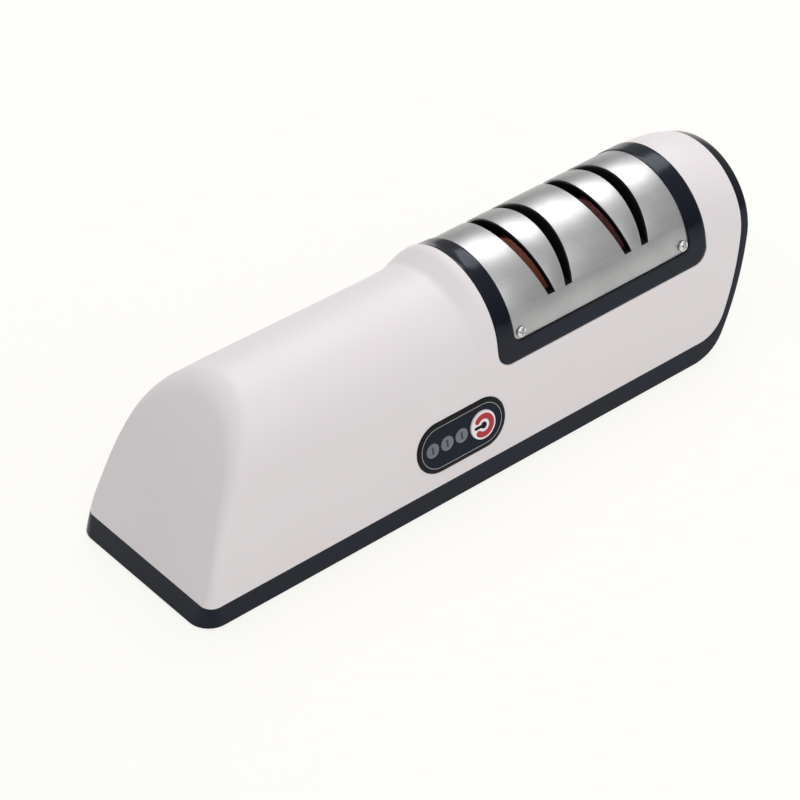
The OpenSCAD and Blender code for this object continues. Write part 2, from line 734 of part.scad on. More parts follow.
cap_nub_r = 3.2;
cap_nub_l = 1.2;
module cell(y) translate([cell_x, y, cell_z]) rotate([0, 90, 0]) rotate_extrude()
    polygon([[0, 0], [cell_d / 2 - 0.6, 0], [cell_d / 2, 0.6], [cell_d / 2, cell_l - 2 * cap_nub_l],
             [cell_d / 2 - 0.5, cell_l - cap_nub_l - 0.7], [cell_d / 2 - 0.5, cell_l - cap_nub_l],
             [cap_nub_r, cell_l - cap_nub_l], [cap_nub_r, cell_l], [0, cell_l]]);

module battery_cell_front() color([0.2, 0.45, 0.7]) place() cell(-cell_y);
module battery_cell_rear() color([0.2, 0.45, 0.7]) place() cell(cell_y);
tab_t = 0.2;
tab_w = 5;
module battery_tabs() color(steel) place() translate([0, 0, cell_z - tab_w / 2]) {
    translate([cell_x1 + seat_gap, -cell_y - 3, 0]) cube([tab_t, 2 * cell_y + 6, tab_w]);
    mirror_y() translate([cell_x - tab_t - seat_gap, cell_y - 3.5, 0]) cube([tab_t, 7, tab_w]);
}

// ---- chassis -------------------------------------------------------------------------------

module saddle(x, w, half, top) translate([x, -half, chassis_z]) cube([w, 2 * half, top - chassis_z]);

cradle_at = [0.12, 0.48, 0.8];
cradle_w = 2.5;
cell_stop_half = 12;
motor_saddle_w = 3;
motor_saddle_half = chassis_w / 2 - 3.8;
motor_saddle_z = shaft_z - 7;
cap_foot = 2.6;
stud_r = 1.5;

module chassis() color(dark_abs) place() difference() {
    union() {
        translate([cell_x - 2, -chassis_w / 2, chassis_z + seat_gap])
            cube([bearing_x[1] + bearing_w + 2.8 - cell_x, chassis_w, chassis_t]);
        for (t = cradle_at) saddle(cell_x + t * cell_l, cradle_w, cell_d, cell_z);
        saddle(cell_x - 2, 1.4, cell_stop_half, cell_z - 3);
        saddle(cell_x1 + 0.6, 1.6, cell_stop_half, cell_z - 3);
        for (x = [motor_x + 4, motor_x1 - 9]) saddle(x, motor_saddle_w, motor_saddle_half, motor_saddle_z);
        for (x = bearing_x) saddle(x - 0.5, bearing_w + 1, cap_y + cap_foot, shaft_z);
        for (s = [-1, 1]) translate([panel_x + s * pin_x, pin_y, chassis_z]) {
            cylinder(r = stud_r, h = charge_board_z - chassis_z - seat_gap);
            cylinder(d = pin_d, h = charge_board_z - chassis_z + charge_board_t + 0.5);
        }
    }
    mirror_y() translate([0, cell_y, cell_z]) rotate([0, 90, 0])
        cylinder(d = cell_d + 2 * seat_gap, h = cell_x1 + 0.3);
    at_axis(motor_x - 1) cylinder(d = motor_d + 2 * seat_gap, h = motor_l + 2);
    for (x = bearing_x) at_axis(x - 1) cylinder(d = bearing_d + 2 * seat_gap, h = bearing_w + 2);
    for (x = bearing_x) mirror_y() translate([x + bearing_w / 2, cap_y, shaft_z - 8])
        cylinder(d = screw_d + 2 * hole_gap, h = 20);
    translate([0, -base_width, -1]) cube([body_length, 2 * base_width, 1 + chassis_z + seat_gap]);
}

cap_head_d = 3.8;
cap_shank_l = 10;
cap_screw_z = shaft_z + bearing_r - 1.5;
module bearing_caps() color(dark_abs) place() for (x = bearing_x) difference() {
    translate([x - 0.5, -cap_y - cap_foot, shaft_z + seat_gap])
        cube([bearing_w + 1, 2 * (cap_y + cap_foot), bearing_r + 2]);
    at_axis(x - 1) cylinder(d = bearing_d + 2 * seat_gap, h = bearing_w + 2);
    mirror_y() translate([x + bearing_w / 2, cap_y, 0]) cylinder(d = screw_d + 2 * hole_gap, h = through);
    mirror_y() translate([x + bearing_w / 2, cap_y, cap_screw_z]) cylinder(d = cap_head_d + 0.3, h = 20);
}

module cap_screws() color(steel) place() for (x = bearing_x) mirror_y()
    translate([x + bearing_w / 2, cap_y, cap_screw_z + seat_gap]) {
        cylinder(d = cap_head_d, h = 1.4);
        translate([0, 0, -cap_shank_l]) cylinder(d = screw_d, h = cap_shank_l + 0.1);
    }

module bearing(x) at_axis(x) rotate_extrude()
    polygon([[spindle_d / 2 + run_gap, 0], [bearing_r - 1.1, 0], [bearing_r - 1.1, 0.25],
             [bearing_r - 0.8, 0.25], [bearing_r - 0.8, 0], [bearing_r, 0], [bearing_r, bearing_w],
             [bearing_r - 0.8, bearing_w], [bearing_r - 0.8, bearing_w - 0.25],
             [bearing_r - 1.1, bearing_w - 0.25], [bearing_r - 1.1, bearing_w],
             [spindle_d / 2 + run_gap, bearing_w]]);
module bearing_left() color(steel) place() bearing(bearing_x[0]);
module bearing_right() color(steel) place() bearing(bearing_x[1]);

// ---- motor ---------------------------------------------------------------------------------

can_t = 1;
magnet_t = 2.3;
bell_t = 2.6;
armature_room = 3.5;
commutator_d = 7;
module motor_can() color(steel) place() difference() {
    union() {
        at_axis(motor_x) cylinder(d = motor_d, h = motor_l);
        at_axis(motor_x1 - 0.5) cylinder(r = boss_r, h = bracket_t + boss_l);
    }
    at_axis(motor_x - 1) cylinder(d = motor_d - 2 * can_t, h = motor_l - can_t + 1);
    at_axis(motor_x) cylinder(d = motor_shaft_d + 2 * run_gap, h = motor_l + 10);
    motor_screw_holes(screw_d + 2 * hole_gap);
}

motor_screw_y = 8.6;
module motor_screw_holes(d) mirror_y() translate([motor_x1 - 2.5, motor_screw_y, shaft_z])
    rotate([0, 90, 0]) cylinder(d = d, h = through);

module motor_magnets() color([0.3, 0.3, 0.32]) place() for (a = [0, 180]) rotate([a, 0, 0])
    translate([0, 0, a == 0 ? 0 : -2 * shaft_z]) intersection() {
        difference() {
            at_axis(motor_x + 3) cylinder(d = motor_d - 2 * can_t - 2 * seat_gap, h = motor_l - 8);
            at_axis(motor_x + 2) cylinder(d = motor_d - 2 * (can_t + magnet_t), h = motor_l - 6);
        }
        translate([motor_x, -motor_d, shaft_z + 3]) cube([motor_l, 2 * motor_d, motor_d]);
    }

terminal_y = 8.45;
terminal_t = 0.5;
terminal_w = 2.8;
module motor_end_bell() color(dark_abs) place() difference() {
    union() {
        at_axis(motor_x - bell_t) cylinder(d = motor_d - 0.6, h = bell_t - seat_gap);
        at_axis(motor_x - 1) cylinder(d = motor_d - 2 * can_t - 2 * seat_gap, h = 2.4);
        at_axis(motor_x - 4) cylinder(r = 3.2, h = 2);
    }
    at_axis(motor_x - 3.4) cylinder(d = motor_shaft_d + 2 * run_gap, h = 10);
    mirror_y() translate([motor_x - 3, terminal_y - 0.05, shaft_z - terminal_w / 2 - 0.1])
        cube([8, terminal_t + 0.1, terminal_w + 0.2]);
}

module motor_terminals() color([0.85, 0.7, 0.35]) place() mirror_y()
    translate([motor_x - 4.4, terminal_y, shaft_z - terminal_w / 2]) cube([6.2, terminal_t, terminal_w]);

module motor_armature() color([0.6, 0.35, 0.2]) place() {
    at_axis(motor_x - 3) cylinder(d = motor_shaft_d, h = spindle_x - 1.2 - motor_x + 3);
    at_axis(motor_x + 2) cylinder(d = commutator_d, h = 3.2);
    at_axis(motor_x + 5) cylinder(d = motor_d - 2 * (can_t + armature_room), h = motor_l - 11);
}

bracket_half = chassis_w / 2 - 4;
bracket_top = 9;
bracket_foot = 6;
module motor_bracket() color(steel) place() difference() {
    union() {
        translate([motor_x1 + seat_gap, -bracket_half, deck_z + 2 * seat_gap])
            cube([bracket_t, 2 * bracket_half, shaft_z + bracket_top - deck_z]);
        translate([motor_x1 + seat_gap, -bracket_half, deck_z + 2 * seat_gap])
            cube([bracket_foot, 2 * bracket_half, bracket_t]);
    }
    at_axis(motor_x1 - 1) cylinder(r = boss_r + seat_gap, h = 10);
    motor_screw_holes(screw_d + 2 * hole_gap);
}

motor_head_d = 4;
motor_head_h = 1.3;
module motor_screws() color(steel) place() mirror_y()
    translate([motor_x1 + bracket_t + 2 * seat_gap, motor_screw_y, shaft_z]) rotate([0, 90, 0]) {
        cylinder(d = motor_head_d, h = motor_head_h);
        translate([0, 0, -2.9]) cylinder(d = screw_d, h = 3);
    }

// ---- spindle and wheels --------------------------------------------------------------------

module shaft_coupler() color([0.8, 0.65, 0.35]) place() difference() {
    at_axis(coupler_x) cylinder(r = coupler_r, h = coupler_l);
    at_axis(coupler_x - 1) cylinder(d = motor_shaft_d + 2 * press_gap, h = spindle_x - coupler_x);
    at_axis(spindle_x - 0.3) cylinder(d = spindle_d + 2 * press_gap, h = 20);
}

module spindle() color(steel) place()
    at_axis(spindle_x) cylinder(d = spindle_d, h = spindle_x1 - spindle_x);

hub_flange_t = 1.2;
hub_flange_w = 2.5;
hub_r = hub_d / 2 + press_gap;
wheel_edge = 0.8;
module hub(x) difference() {
    union() {
        at_axis(x - wheel_w / 2) cylinder(d = hub_d, h = wheel_w);
        at_axis(x - wheel_w / 2) cylinder(d = hub_d + 2 * hub_flange_w - press_gap, h = hub_flange_t);
    }
    at_axis(x - wheel_w) cylinder(d = spindle_d + 2 * press_gap, h = 2 * wheel_w);
}
module fine_hub() color(steel) place() hub(stage_x[0]);
module coarse_hub() color(steel) place() hub(stage_x[1]);

// Each wheel has two grooves that the knife's edge runs in, in line with the slots
groove_half = 20;
groove_r = slot_z - shaft_z - 0.3;
function groove(side) =
    let (c = wheel_w / 2 + side * slot_gap / 2, dr = wheel_r - groove_r,
         in_edge = c + side * dr * tan(slot_tilt - groove_half),
         out_edge = c + side * dr * tan(slot_tilt + groove_half))
    [[wheel_r, side < 0 ? out_edge : in_edge], [groove_r, c], [wheel_r, side < 0 ? in_edge : out_edge]];

module abrasive(x) at_axis(x - wheel_w / 2) rotate_extrude()
    polygon(concat(
        [[hub_r, hub_flange_t + press_gap], [hub_r + hub_flange_w, hub_flange_t + press_gap],
         [hub_r + hub_flange_w, 0], [wheel_r - wheel_edge, 0], [wheel_r, wheel_edge]],
        groove(-1), groove(1),
        [[wheel_r, wheel_w - wheel_edge], [wheel_r - wheel_edge, wheel_w], [hub_r, wheel_w]]));
module fine_wheel() color([0.6, 0.32, 0.25]) place() abrasive(stage_x[0]);
module coarse_wheel() color([0.45, 0.25, 0.27]) place() abrasive(stage_x[1]);

module wheel_spacer() color([0.8, 0.65, 0.35]) place() difference() {
    at_axis(stage_x[0] + wheel_w / 2 + press_gap)
        cylinder(d = spindle_d + 4, h = stage_pitch - wheel_w - 2 * press_gap);
    at_axis(stage_x[0]) cylinder(d = spindle_d + 2 * press_gap, h = stage_pitch);
}

module retaining_nut() color(steel) place() difference() {
    at_axis(stage_x[1] + wheel_w / 2 + press_gap) cylinder(d = nut_d, h = nut_w, $fn = 6);
    at_axis(stage_x[1]) cylinder(d = spindle_d + 2 * press_gap, h = through);
}

// ---- drawing -------------------------------------------------------------------------------

top_housing();
base_cover();
slot_bezel();
slot_cover();
cover_screws();
knife_guide();
control_panel();
panel_overlay();
power_button();
indicator_lenses();
control_board();
board_screws();
tact_switch();
switch_plunger();
indicator_leds();
charge_port();
charge_contacts();
charge_board();
battery_cell_front();
battery_cell_rear();
battery_tabs();
chassis();
motor_can();
motor_magnets();
motor_end_bell();
motor_terminals();
motor_armature();
motor_bracket();
motor_screws();
shaft_coupler();
spindle();
fine_wheel();
coarse_wheel();
fine_hub();
coarse_hub();
wheel_spacer();
retaining_nut();
bearing_left();
bearing_right();
bearing_caps();
cap_screws();
base_screws();
rubber_feet();
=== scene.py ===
"""Looks for the cordless two-stage electric knife sharpener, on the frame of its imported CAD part."""
import math

import bmesh
import bpy
import numpy as np
from mathutils import Matrix, Vector


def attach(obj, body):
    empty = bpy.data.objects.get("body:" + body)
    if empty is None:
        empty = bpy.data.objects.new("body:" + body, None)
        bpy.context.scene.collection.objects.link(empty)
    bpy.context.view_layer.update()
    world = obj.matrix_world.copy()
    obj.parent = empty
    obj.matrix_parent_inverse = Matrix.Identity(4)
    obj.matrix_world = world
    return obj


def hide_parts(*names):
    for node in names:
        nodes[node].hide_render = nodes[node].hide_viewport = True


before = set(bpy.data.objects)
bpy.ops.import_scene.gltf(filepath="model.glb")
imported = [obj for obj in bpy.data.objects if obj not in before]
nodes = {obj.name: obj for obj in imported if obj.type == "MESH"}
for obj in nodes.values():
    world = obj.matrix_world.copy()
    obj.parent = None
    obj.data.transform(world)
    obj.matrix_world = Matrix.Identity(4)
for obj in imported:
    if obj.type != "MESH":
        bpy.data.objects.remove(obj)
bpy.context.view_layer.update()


# ---- sizes of the part, in millimetres, in the part's own drawing frame ------------------
# x runs from the base's left end, y from the middle plane to the rear, z up from the base's underside

LENGTH = 215.3
BASE_W = 60.0
DRAFT = math.radians(9.73)          # lean of the side walls
WALL = 2.2
FOOT = 1.0                          # how far the rubber feet lift the body
BASE_H = 6.0                        # top of the black strip
BASE_LOW = -0.15                    # its lower lip
FLOOR_T = 2.2
SKY, BEYOND = 80.0, -20.0           # above and left of all of the body, for cutters
CUT_LOW, CUT_HIGH = -6.0, 3.0       # reach of the cutters on the front wall, from its face

# crown along the body: level handle, slow fall, shoulder, rim, and the tail behind the bezel
HANDLE_H = 57.1
FALL_X = 40.0
SHOULDER_XS = (98.0, 104.9, 110.5)
SHOULDER_ZS = (56.0, 56.4, 59.75)
SOFTEN = (-0.8, -0.4, 0.0, 0.4, 0.8)
RIM_H = 60.1
TAIL_L = 19.9
TAIL_H = 58.55
TAIL_FALL = 0.0114                  # extra fall per square millimetre behind the bezel

# left end: a leaning face that bows outwards, with softer edges at the foot and at the crown
LEFT_LEAN = 0.5
LEFT_BOW = 4.1
BOW_POWER = 1.41
LEFT_EDGE_R = 2.4
LEFT_FOOT_R = 6.8
LEFT_TOP_R = 4.8
LEAST_EDGE_R = 1.5
FOOT_SOFT_Z, CRISP_Z, CROWN_SOFT_Z = 14.0, 26.0, 50.0

# right end: corner arc, wide arc, then a line that leans to the crown; the black wall stands outside
END_X = 216.3
END_TOP_Z = 54.4
RIGHT_EDGE_R = 0.8
TOP_LEAN = math.radians(8.4)
CORNER_R = 13.3
SHELL_CORNER_R = 12.2
UPPER_R = 88.7
UPPER_Z = 43.9
RIDGE_Z = 55.0                      # height at which the crown's stations are placed
END_WALL = 3.3
END_SWELL = 0.0011                  # the wall's extra thickness per square millimetre above SWELL_Z
SWELL_Z = 20.0

# bezel and steel cover
BEZEL_L = 82.7
BEZEL_Z = 32.2
BEZEL_H = 59.3
BEZEL_CORNER_R = 5.0
BORDER, SIDE_BORDER = 6.2, 6.85
BEZEL_X1 = LENGTH - TAIL_L
BEZEL_X = BEZEL_X1 - BEZEL_L
BEND_X = BEZEL_X + BEZEL_L * 0.63   # from here on, the stations lean over to the right end's shape
RECESS = 0.5                        # the cover's face under the bezel's
COVER_T = 0.8
COVER_CORNER_R = 2.6
COVER_EDGE_R = 0.14
LEDGE = 3.0                         # the bezel's shelf under the cover
GAP = 0.12                          # clearance round a fitted outline
SEAT = 0.04                         # clearance under a seated face
COVER_X, COVER_X1 = BEZEL_X + SIDE_BORDER, BEZEL_X1 - SIDE_BORDER
COVER_Z = BEZEL_Z + BORDER * math.cos(DRAFT)

# slots and wheels
STAGES = (139.2, 169.4)
SLOT_TILT = math.radians(14)
SLOT_GAP = 6.6                      # between the middles of a pair, at the slots' lower ends
SLOT_Z = 46.4
SLOT_W = 2.7
SLOT_FLARE = 0.11                   # growth of the width per millimetre of height
SHAFT_Z = 30.4
WHEEL_R = 18.6
WHEEL_W = 16.6
WHEEL_EDGE_R = 0.8
RELIEF_W, RELIEF_T = 2.5, 1.22      # step round the hub
HUB_R = 7.02
GROOVE_R = 15.7
GROOVE_HALF_ANGLE = math.radians(20)

# screws, and the pockets under the base
COVER_SCREW_IN_LEFT, COVER_SCREW_IN_RIGHT, COVER_SCREW_UP = 2.6, 2.3, 2.3
POST_X, POST_Y = (30.0, 178.3), 23.2
FOOT_X, FOOT_Y = (16.0, 164.3), 21.0
SCREW_POCKET_R, SCREW_POCKET_H = 2.9, 2.4
FOOT_POCKET_R, FOOT_POCKET_H = 5.1, 0.62

# control panel on the front wall: places are measured from its middle, heights from the wall's face
PANEL_X, PANEL_Z = 96.1, 18.5
PANEL_L, PANEL_W = 33.4, 16.4
PROUD = 0.35
FILM_INSET, FILM_GAP, FILM_RECESS = 1.7, 0.1, 0.3
LINE_INSET, LINE_W, LINE_T = 1.62, 0.13, 0.04
PANEL_BACK = 3.24
FLANGE_W = 1.2
BUTTON_X = 7.85
BUTTON_R = 4.6
BUTTON_FACE = PROUD + 0.55
BUTTON_EDGE_R = 0.35
BUTTON_FLANGE = 0.8
RING_R, RING_HALF_W, RING_REACH = 2.93, 0.93, math.radians(137)
DOT_R, STEM_HALF_W, STEM_L = 1.1, 0.5, 3.55
MARK_T = 0.03
CLEAR = 0.005                       # how far a mark or line reaches into, or stays off, the face below
LENS_X = (-10.95, -5.5, -0.05)
LENS_R, LENS_GAP, LENS_N = 2.35, 0.03, 64
LENS_BAR_W, LENS_BAR_L = 0.72, 2.4
PORT_W, PORT_H, PORT_Z = 8.94, 3.26, 12.0
PORT_MARGIN = 0.8


def row(points):
    """Drawing-frame millimetres to the row frame's metres."""
    p = np.asarray(points, float).reshape(-1, 3)
    return (p + [-LENGTH / 2, 0.0, FOOT]) * 0.001


def new_object(name, data):
    obj = bpy.data.objects.new(name, data)
    bpy.context.scene.collection.objects.link(obj)
    return obj


# ---- camera ------------------------------------------------------------------------------

PICTURE = 800.0                         # width and height, in pixels
CAMERA_AZ, CAMERA_EL = math.radians(40.123), math.radians(39.067)
FOCAL = 3554.44                         # in pixels
AIM = np.array([110.0, 0.0, 30.0])      # a point of the body, its distance and the pixel where it shows
AIM_DEPTH = 1035.968
AIM_PX, AIM_PY = 437.477, 340.213
SENSOR = 36.0

right = np.array([math.cos(CAMERA_AZ), -math.sin(CAMERA_AZ), 0.0])
ahead = np.array([math.sin(CAMERA_AZ) * math.cos(CAMERA_EL), math.cos(CAMERA_AZ) * math.cos(CAMERA_EL),
                  -math.sin(CAMERA_EL)])
up = np.cross(right, ahead)
eye = (AIM - (AIM_PX - PICTURE / 2) / FOCAL * AIM_DEPTH * right
       + (AIM_PY - PICTURE / 2) / FOCAL * AIM_DEPTH * up - AIM_DEPTH * ahead)
camera = new_object("camera", bpy.data.cameras.new("camera"))
camera.data.lens = FOCAL / PICTURE * SENSOR
camera.data.sensor_width = SENSOR
camera.data.clip_start, camera.data.clip_end = 0.05, 20
turn = Matrix([[right[i], up[i], -ahead[i]] for i in range(3)])
camera.matrix_world = Matrix.Translation(Vector(row(eye)[0])) @ turn.to_4x4()
bpy.context.scene.camera = camera

# ---- form of the body --------------------------------------------------------------------


def wall_y(z):
    return BASE_W / 2 - z * math.tan(DRAFT)


def arch_r(h):
    return (BASE_W / 2 * math.cos(DRAFT) - h * math.sin(DRAFT)) / (1 - math.sin(DRAFT))


def arch_points(h, z0=0.0, wall_n=20, arc_n=44):
    """Half of an arch of crown height h: each point's y and z, and its move per millimetre of inset."""
    r, zc = arch_r(h), h - arch_r(h)
    top = zc + r * math.sin(DRAFT)
    wall = [(wall_y(z), z, 1 / math.cos(DRAFT), 0.0)
            for z in (z0 + (top - z0) * (i / wall_n) ** 1.5 for i in range(wall_n))]
    angles = [DRAFT + (math.pi / 2 - DRAFT) * i / arc_n for i in range(arc_n + 1)]
    return wall + [(r * math.cos(a), zc + r * math.sin(a), math.cos(a), math.sin(a)) for a in angles]


def blend(t):
    return t * t * (3 - 2 * t)


def left_x(z):
    return LEFT_LEAN * z - LEFT_BOW * math.sin(math.pi * (min(max(z, 0.0), HANDLE_H) / HANDLE_H) ** BOW_POWER)


def left_round(z, inset):
    """Edge radius of the left end: soft at the foot and towards the crown, crisp between."""
    soft_top = blend(min(1.0, max(0.0, (z - CRISP_Z) / (CROWN_SOFT_Z - CRISP_Z))))
    edge = (LEFT_EDGE_R + (LEFT_FOOT_R - LEFT_EDGE_R) * max(0.0, 1 - z / FOOT_SOFT_Z) ** 2
            + (LEFT_TOP_R - LEFT_EDGE_R) * soft_top)
    return max(LEAST_EDGE_R, edge - inset)


def end_x(z, offset, z0, corner_r):
    """Side view of the right end: corner arc, wide arc, steeper line to the crown."""
    x_upper = END_X - offset - (END_TOP_Z - UPPER_Z) * math.tan(TOP_LEAN)
    x_mid, z_mid = x_upper - UPPER_R * math.cos(TOP_LEAN), UPPER_Z + UPPER_R * math.sin(TOP_LEAN)
    drop, rest = z_mid - z0 - corner_r, UPPER_R - corner_r
    if z > UPPER_Z:
        return x_upper + (z - UPPER_Z) * math.tan(TOP_LEAN)
    if z > z_mid - UPPER_R * drop / rest:
        return x_mid + math.sqrt(UPPER_R ** 2 - (z_mid - z) ** 2)
    x_corner = x_mid + math.sqrt(rest ** 2 - drop ** 2)
    return x_corner + math.sqrt(max(0.0, corner_r ** 2 - (z0 + corner_r - z) ** 2))


def crown_h(x):
    """Crown height along the body: falling handle, shoulder slope, rim, and the tail behind the bezel."""
    places = [0.0, FALL_X, *SHOULDER_XS, BEZEL_X, BEZEL_X1]
    heights = [HANDLE_H, HANDLE_H, *SHOULDER_ZS, RIM_H, TAIL_H]
    if x < BEZEL_X:
        return sum(float(np.interp(x + d, places, heights)) for d in SOFTEN) / len(SOFTEN)
    return float(np.interp(x, places, heights)) - TAIL_FALL * max(0.0, x - BEZEL_X1) ** 2


def body_rings(inset=0.0, right_off=0.0, z0=0.0):
    """Arches from the left edge's rounding over handle, shoulder and head to the right edge's rounding.

    The inset moves the whole surface inwards, right_off the right end as well, and z0 is where arches start.
    """
    slope_x, slope_n, left_n, right_n = 103.4, 24, 12, 8      # arches lie closest over the shoulder's slope
    stations = [("left", math.pi / 2 * i / left_n) for i in range(left_n + 1)]
    stations += [("mid", x) for x in (38, 42, 60, 80, 96, 98, 100, 102)]
    stations += [("mid", slope_x + (BEZEL_X - slope_x) * i / slope_n) for i in range(slope_n + 1)]
    stations += [("mid", x) for x in (138, BEND_X)]
    stations += [("blend", t) for t in (0.2, 0.35, 0.5, 0.6, 0.7, 0.76, 0.82, 0.88, 0.92, 0.96)]
    stations += [("right", math.pi / 2 * i / right_n) for i in range(right_n, -1, -1)]

    def place(kind, s, z):
        xr = end_x(z, inset + right_off, 0, CORNER_R) - RIGHT_EDGE_R
        if kind == "left":
            return left_x(z) + inset * math.hypot(1, LEFT_LEAN) + left_round(z, inset) * (1 - math.cos(s))
        if kind == "mid":
            return s
        return BEND_X + s * (xr - BEND_X) if kind == "blend" else xr + RIGHT_EDGE_R * math.cos(s)

    rings = []
    for kind, s in stations:
        half = []
        crown = HANDLE_H if kind == "left" else crown_h(place(kind, s, RIDGE_Z))
        for y, z, dy, dz in arch_points(crown, z0):
            edge = {"left": left_round(z, inset), "right": RIGHT_EDGE_R}.get(kind, 0.0)
            e = inset + edge * (1 - math.sin(s))
            half.append((place(kind, s, z - e * dz), y - e * dy, z - e * dz))
        rings.append(half + [(x, -y, z) for x, y, z in half[-2::-1]])
    return rings


def above_base():
    """Side view of all that is above the black base strip and left of the black end wall."""
    steps, closer_below = 60, 1.7
    zs = [BASE_H + (SKY - BASE_H) * (i / steps) ** closer_below for i in range(steps + 1)]
    walls = [END_WALL + END_SWELL * max(0.0, z - SWELL_Z) ** 2 for z in zs]
    end = [(end_x(z, wall, BASE_H, SHELL_CORNER_R), z) for z, wall in zip(zs, walls)]
    return [(BEYOND, BASE_H)] + end + [(BEYOND, SKY)]


# ---- mesh helpers ------------------------------------------------------------------------


def piece(name, *solids):
    """An object made of closed solids, each a list of points and a list of faces."""
    verts, faces = [], []
    for points, sides in solids:
        faces += [tuple(len(verts) + i for i in side) for side in sides]
        verts += [tuple(p) for p in row(points)]
    mesh = bpy.data.meshes.new(name)
    mesh.from_pydata(verts, [], faces)
    return new_object(name, mesh)


def tidy_mesh(obj, smooth_to=28, turn_out=True):
    """Merges doubles, turns faces outwards where asked, and shades edges smooth up to an angle in degrees."""
    bm = bmesh.new()
    bm.from_mesh(obj.data)
    bmesh.ops.remove_doubles(bm, verts=bm.verts, dist=1e-7)
    bmesh.ops.dissolve_degenerate(bm, edges=bm.edges, dist=1e-7)
    if turn_out:
        bmesh.ops.recalc_face_normals(bm, faces=bm.faces)
    bm.to_mesh(obj.data)
    bm.free()
    obj.data.shade_smooth()
    obj.data.set_sharp_from_angle(angle=math.radians(smooth_to))
    return obj


def end_strips(base, n, flip):
    """Strips across an end ring, from each point to the one opposite."""
    faces = []
    for j in range((n - 1) // 2):
        a, b, c, d = base + j, base + j + 1, base + n - 2 - j, base + n - 1 - j
        face = (a, b, d) if b == c else (a, b, c, d)
        faces.append(face[::-1] if flip else face)
    return faces


def loft(rings, caps="flat", loop=False):
    """A solid over rings of equally many points, or a closed band where the rings loop."""
    n, last = len(rings[0]), len(rings) - 1
    faces = []
    for i in range(last + 1 if loop else last):
        k = (i + 1) % (last + 1)
        faces += [(i * n + j, k * n + j, k * n + (j + 1) % n, i * n + (j + 1) % n) for j in range(n)]
    if caps == "strips":
        faces += end_strips(0, n, False) + end_strips(last * n, n, True)
    elif not loop:
        faces += [tuple(range(n))[::-1], tuple(range(last * n, last * n + n))]
    return [p for r in rings for p in r], faces


def side_prism(outline, half_width=45.0):
    """A side-view outline (x, z) carried right across the body."""
    return loft([[(x, y, z) for x, z in outline] for y in (-half_width, half_width)])


def baked(obj):
    """The object's mesh with its modifiers applied."""
    bpy.context.view_layer.update()
    mesh = bpy.data.meshes.new_from_object(obj.evaluated_get(bpy.context.evaluated_depsgraph_get()))
    obj.modifiers.clear()
    obj.data = mesh
    return obj


def cut(obj, *solids, operation="DIFFERENCE"):
    """Takes solids from the object, or keeps only what lies in them."""
    tools = [tidy_mesh(piece("cutter", solid)) for solid in solids]
    for tool in tools:
        mod = obj.modifiers.new("cut", "BOOLEAN")
        mod.operation, mod.object, mod.solver = operation, tool, "EXACT"
    baked(obj)
    for tool in tools:
        bpy.data.objects.remove(tool)
    return obj


def bevelled(obj, width, segments, angle=35):
    """Rounds the object's edges that are sharper than the angle in degrees."""
    mod = obj.modifiers.new("bevel", "BEVEL")
    mod.width, mod.segments = width * 0.001, segments
    mod.limit_method, mod.angle_limit = "ANGLE", math.radians(angle)
    return baked(obj)


def u_outline(x0, x1, z0, z1, r, n=14):
    """A side-view outline, open upwards, with two round lower corners."""
    arc = [math.pi / 2 * i / n for i in range(n + 1)]
    return ([(x0, z1)] + [(x0 + r - r * math.cos(a), z0 + r - r * math.sin(a)) for a in arc]
            + [(x1 - r + r * math.cos(a), z0 + r - r * math.sin(a)) for a in arc[::-1]] + [(x1, z1)])


def on_front(points, x=PANEL_X, z=PANEL_Z):
    """Points in a frame on the front wall (x along, y up the wall, z outwards) to the drawing frame."""
    p = np.asarray(points, float).reshape(-1, 3)
    upward = np.array([0.0, math.sin(DRAFT), math.cos(DRAFT)])
    out = np.array([0.0, -math.cos(DRAFT), math.sin(DRAFT)])
    spots = np.array([x, -wall_y(z), z]) + p[:, :1] * [1.0, 0, 0] + p[:, 1:2] * upward + p[:, 2:] * out
    return [tuple(s) for s in spots]


def stadium(l, w, n=28):
    """An outline with straight long sides and half-round ends."""
    r = w / 2
    half = [((l - w) / 2 + r * math.cos(a), r * math.sin(a))
            for a in (-math.pi / 2 + math.pi * i / n for i in range(n + 1))]
    return half + [(-x, -y) for x, y in half]


def stadium_band(l, w, profile, **how):
    """A stadium on the panel's wall: profile gives the inset from the edge and the height."""
    return loft([on_front([(x, y, h) for x, y in stadium(l - 2 * d, w - 2 * d)]) for d, h in profile], **how)


def stamp(outline, low, high, x=0.0):
    """A flat outline on the panel's wall, raised from low to high."""
    return loft([on_front([(x + a, b, h) for a, b in outline]) for h in (low, high)])


def circle(r, n=96):
    return [(r * math.cos(2 * math.pi * i / n), r * math.sin(2 * math.pi * i / n)) for i in range(n)]


def turned_front(profile, x, n=96):
    """A round solid standing on the panel's wall, from radii and heights."""
    return loft([on_front([(x + a, b, h) for a, b in circle(r, n)]) for r, h in profile])


def turned_shaft(profile, x, n=128):
    """A bored round solid on the spindle's axis, from radii and places along it."""
    return loft([[(x + h, a, SHAFT_Z + b) for a, b in circle(r, n)] for r, h in profile], loop=True)


def peg(x, y, z0, z1, r, n=48):
    """An upright round solid."""
    return loft([[(x + a, y + b, z) for a, b in circle(r, n)] for z in (z0, z1)])


def finish_piece(obj, material, body="housing", replaces=()):
    """Gives the object its only material and its body, and hides the CAD nodes it stands for."""
    obj.data.materials.clear()
    obj.data.materials.append(material)
    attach(obj, body)
    if replaces:
        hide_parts(*replaces)
    return obj


# ---- materials ---------------------------------------------------------------------------


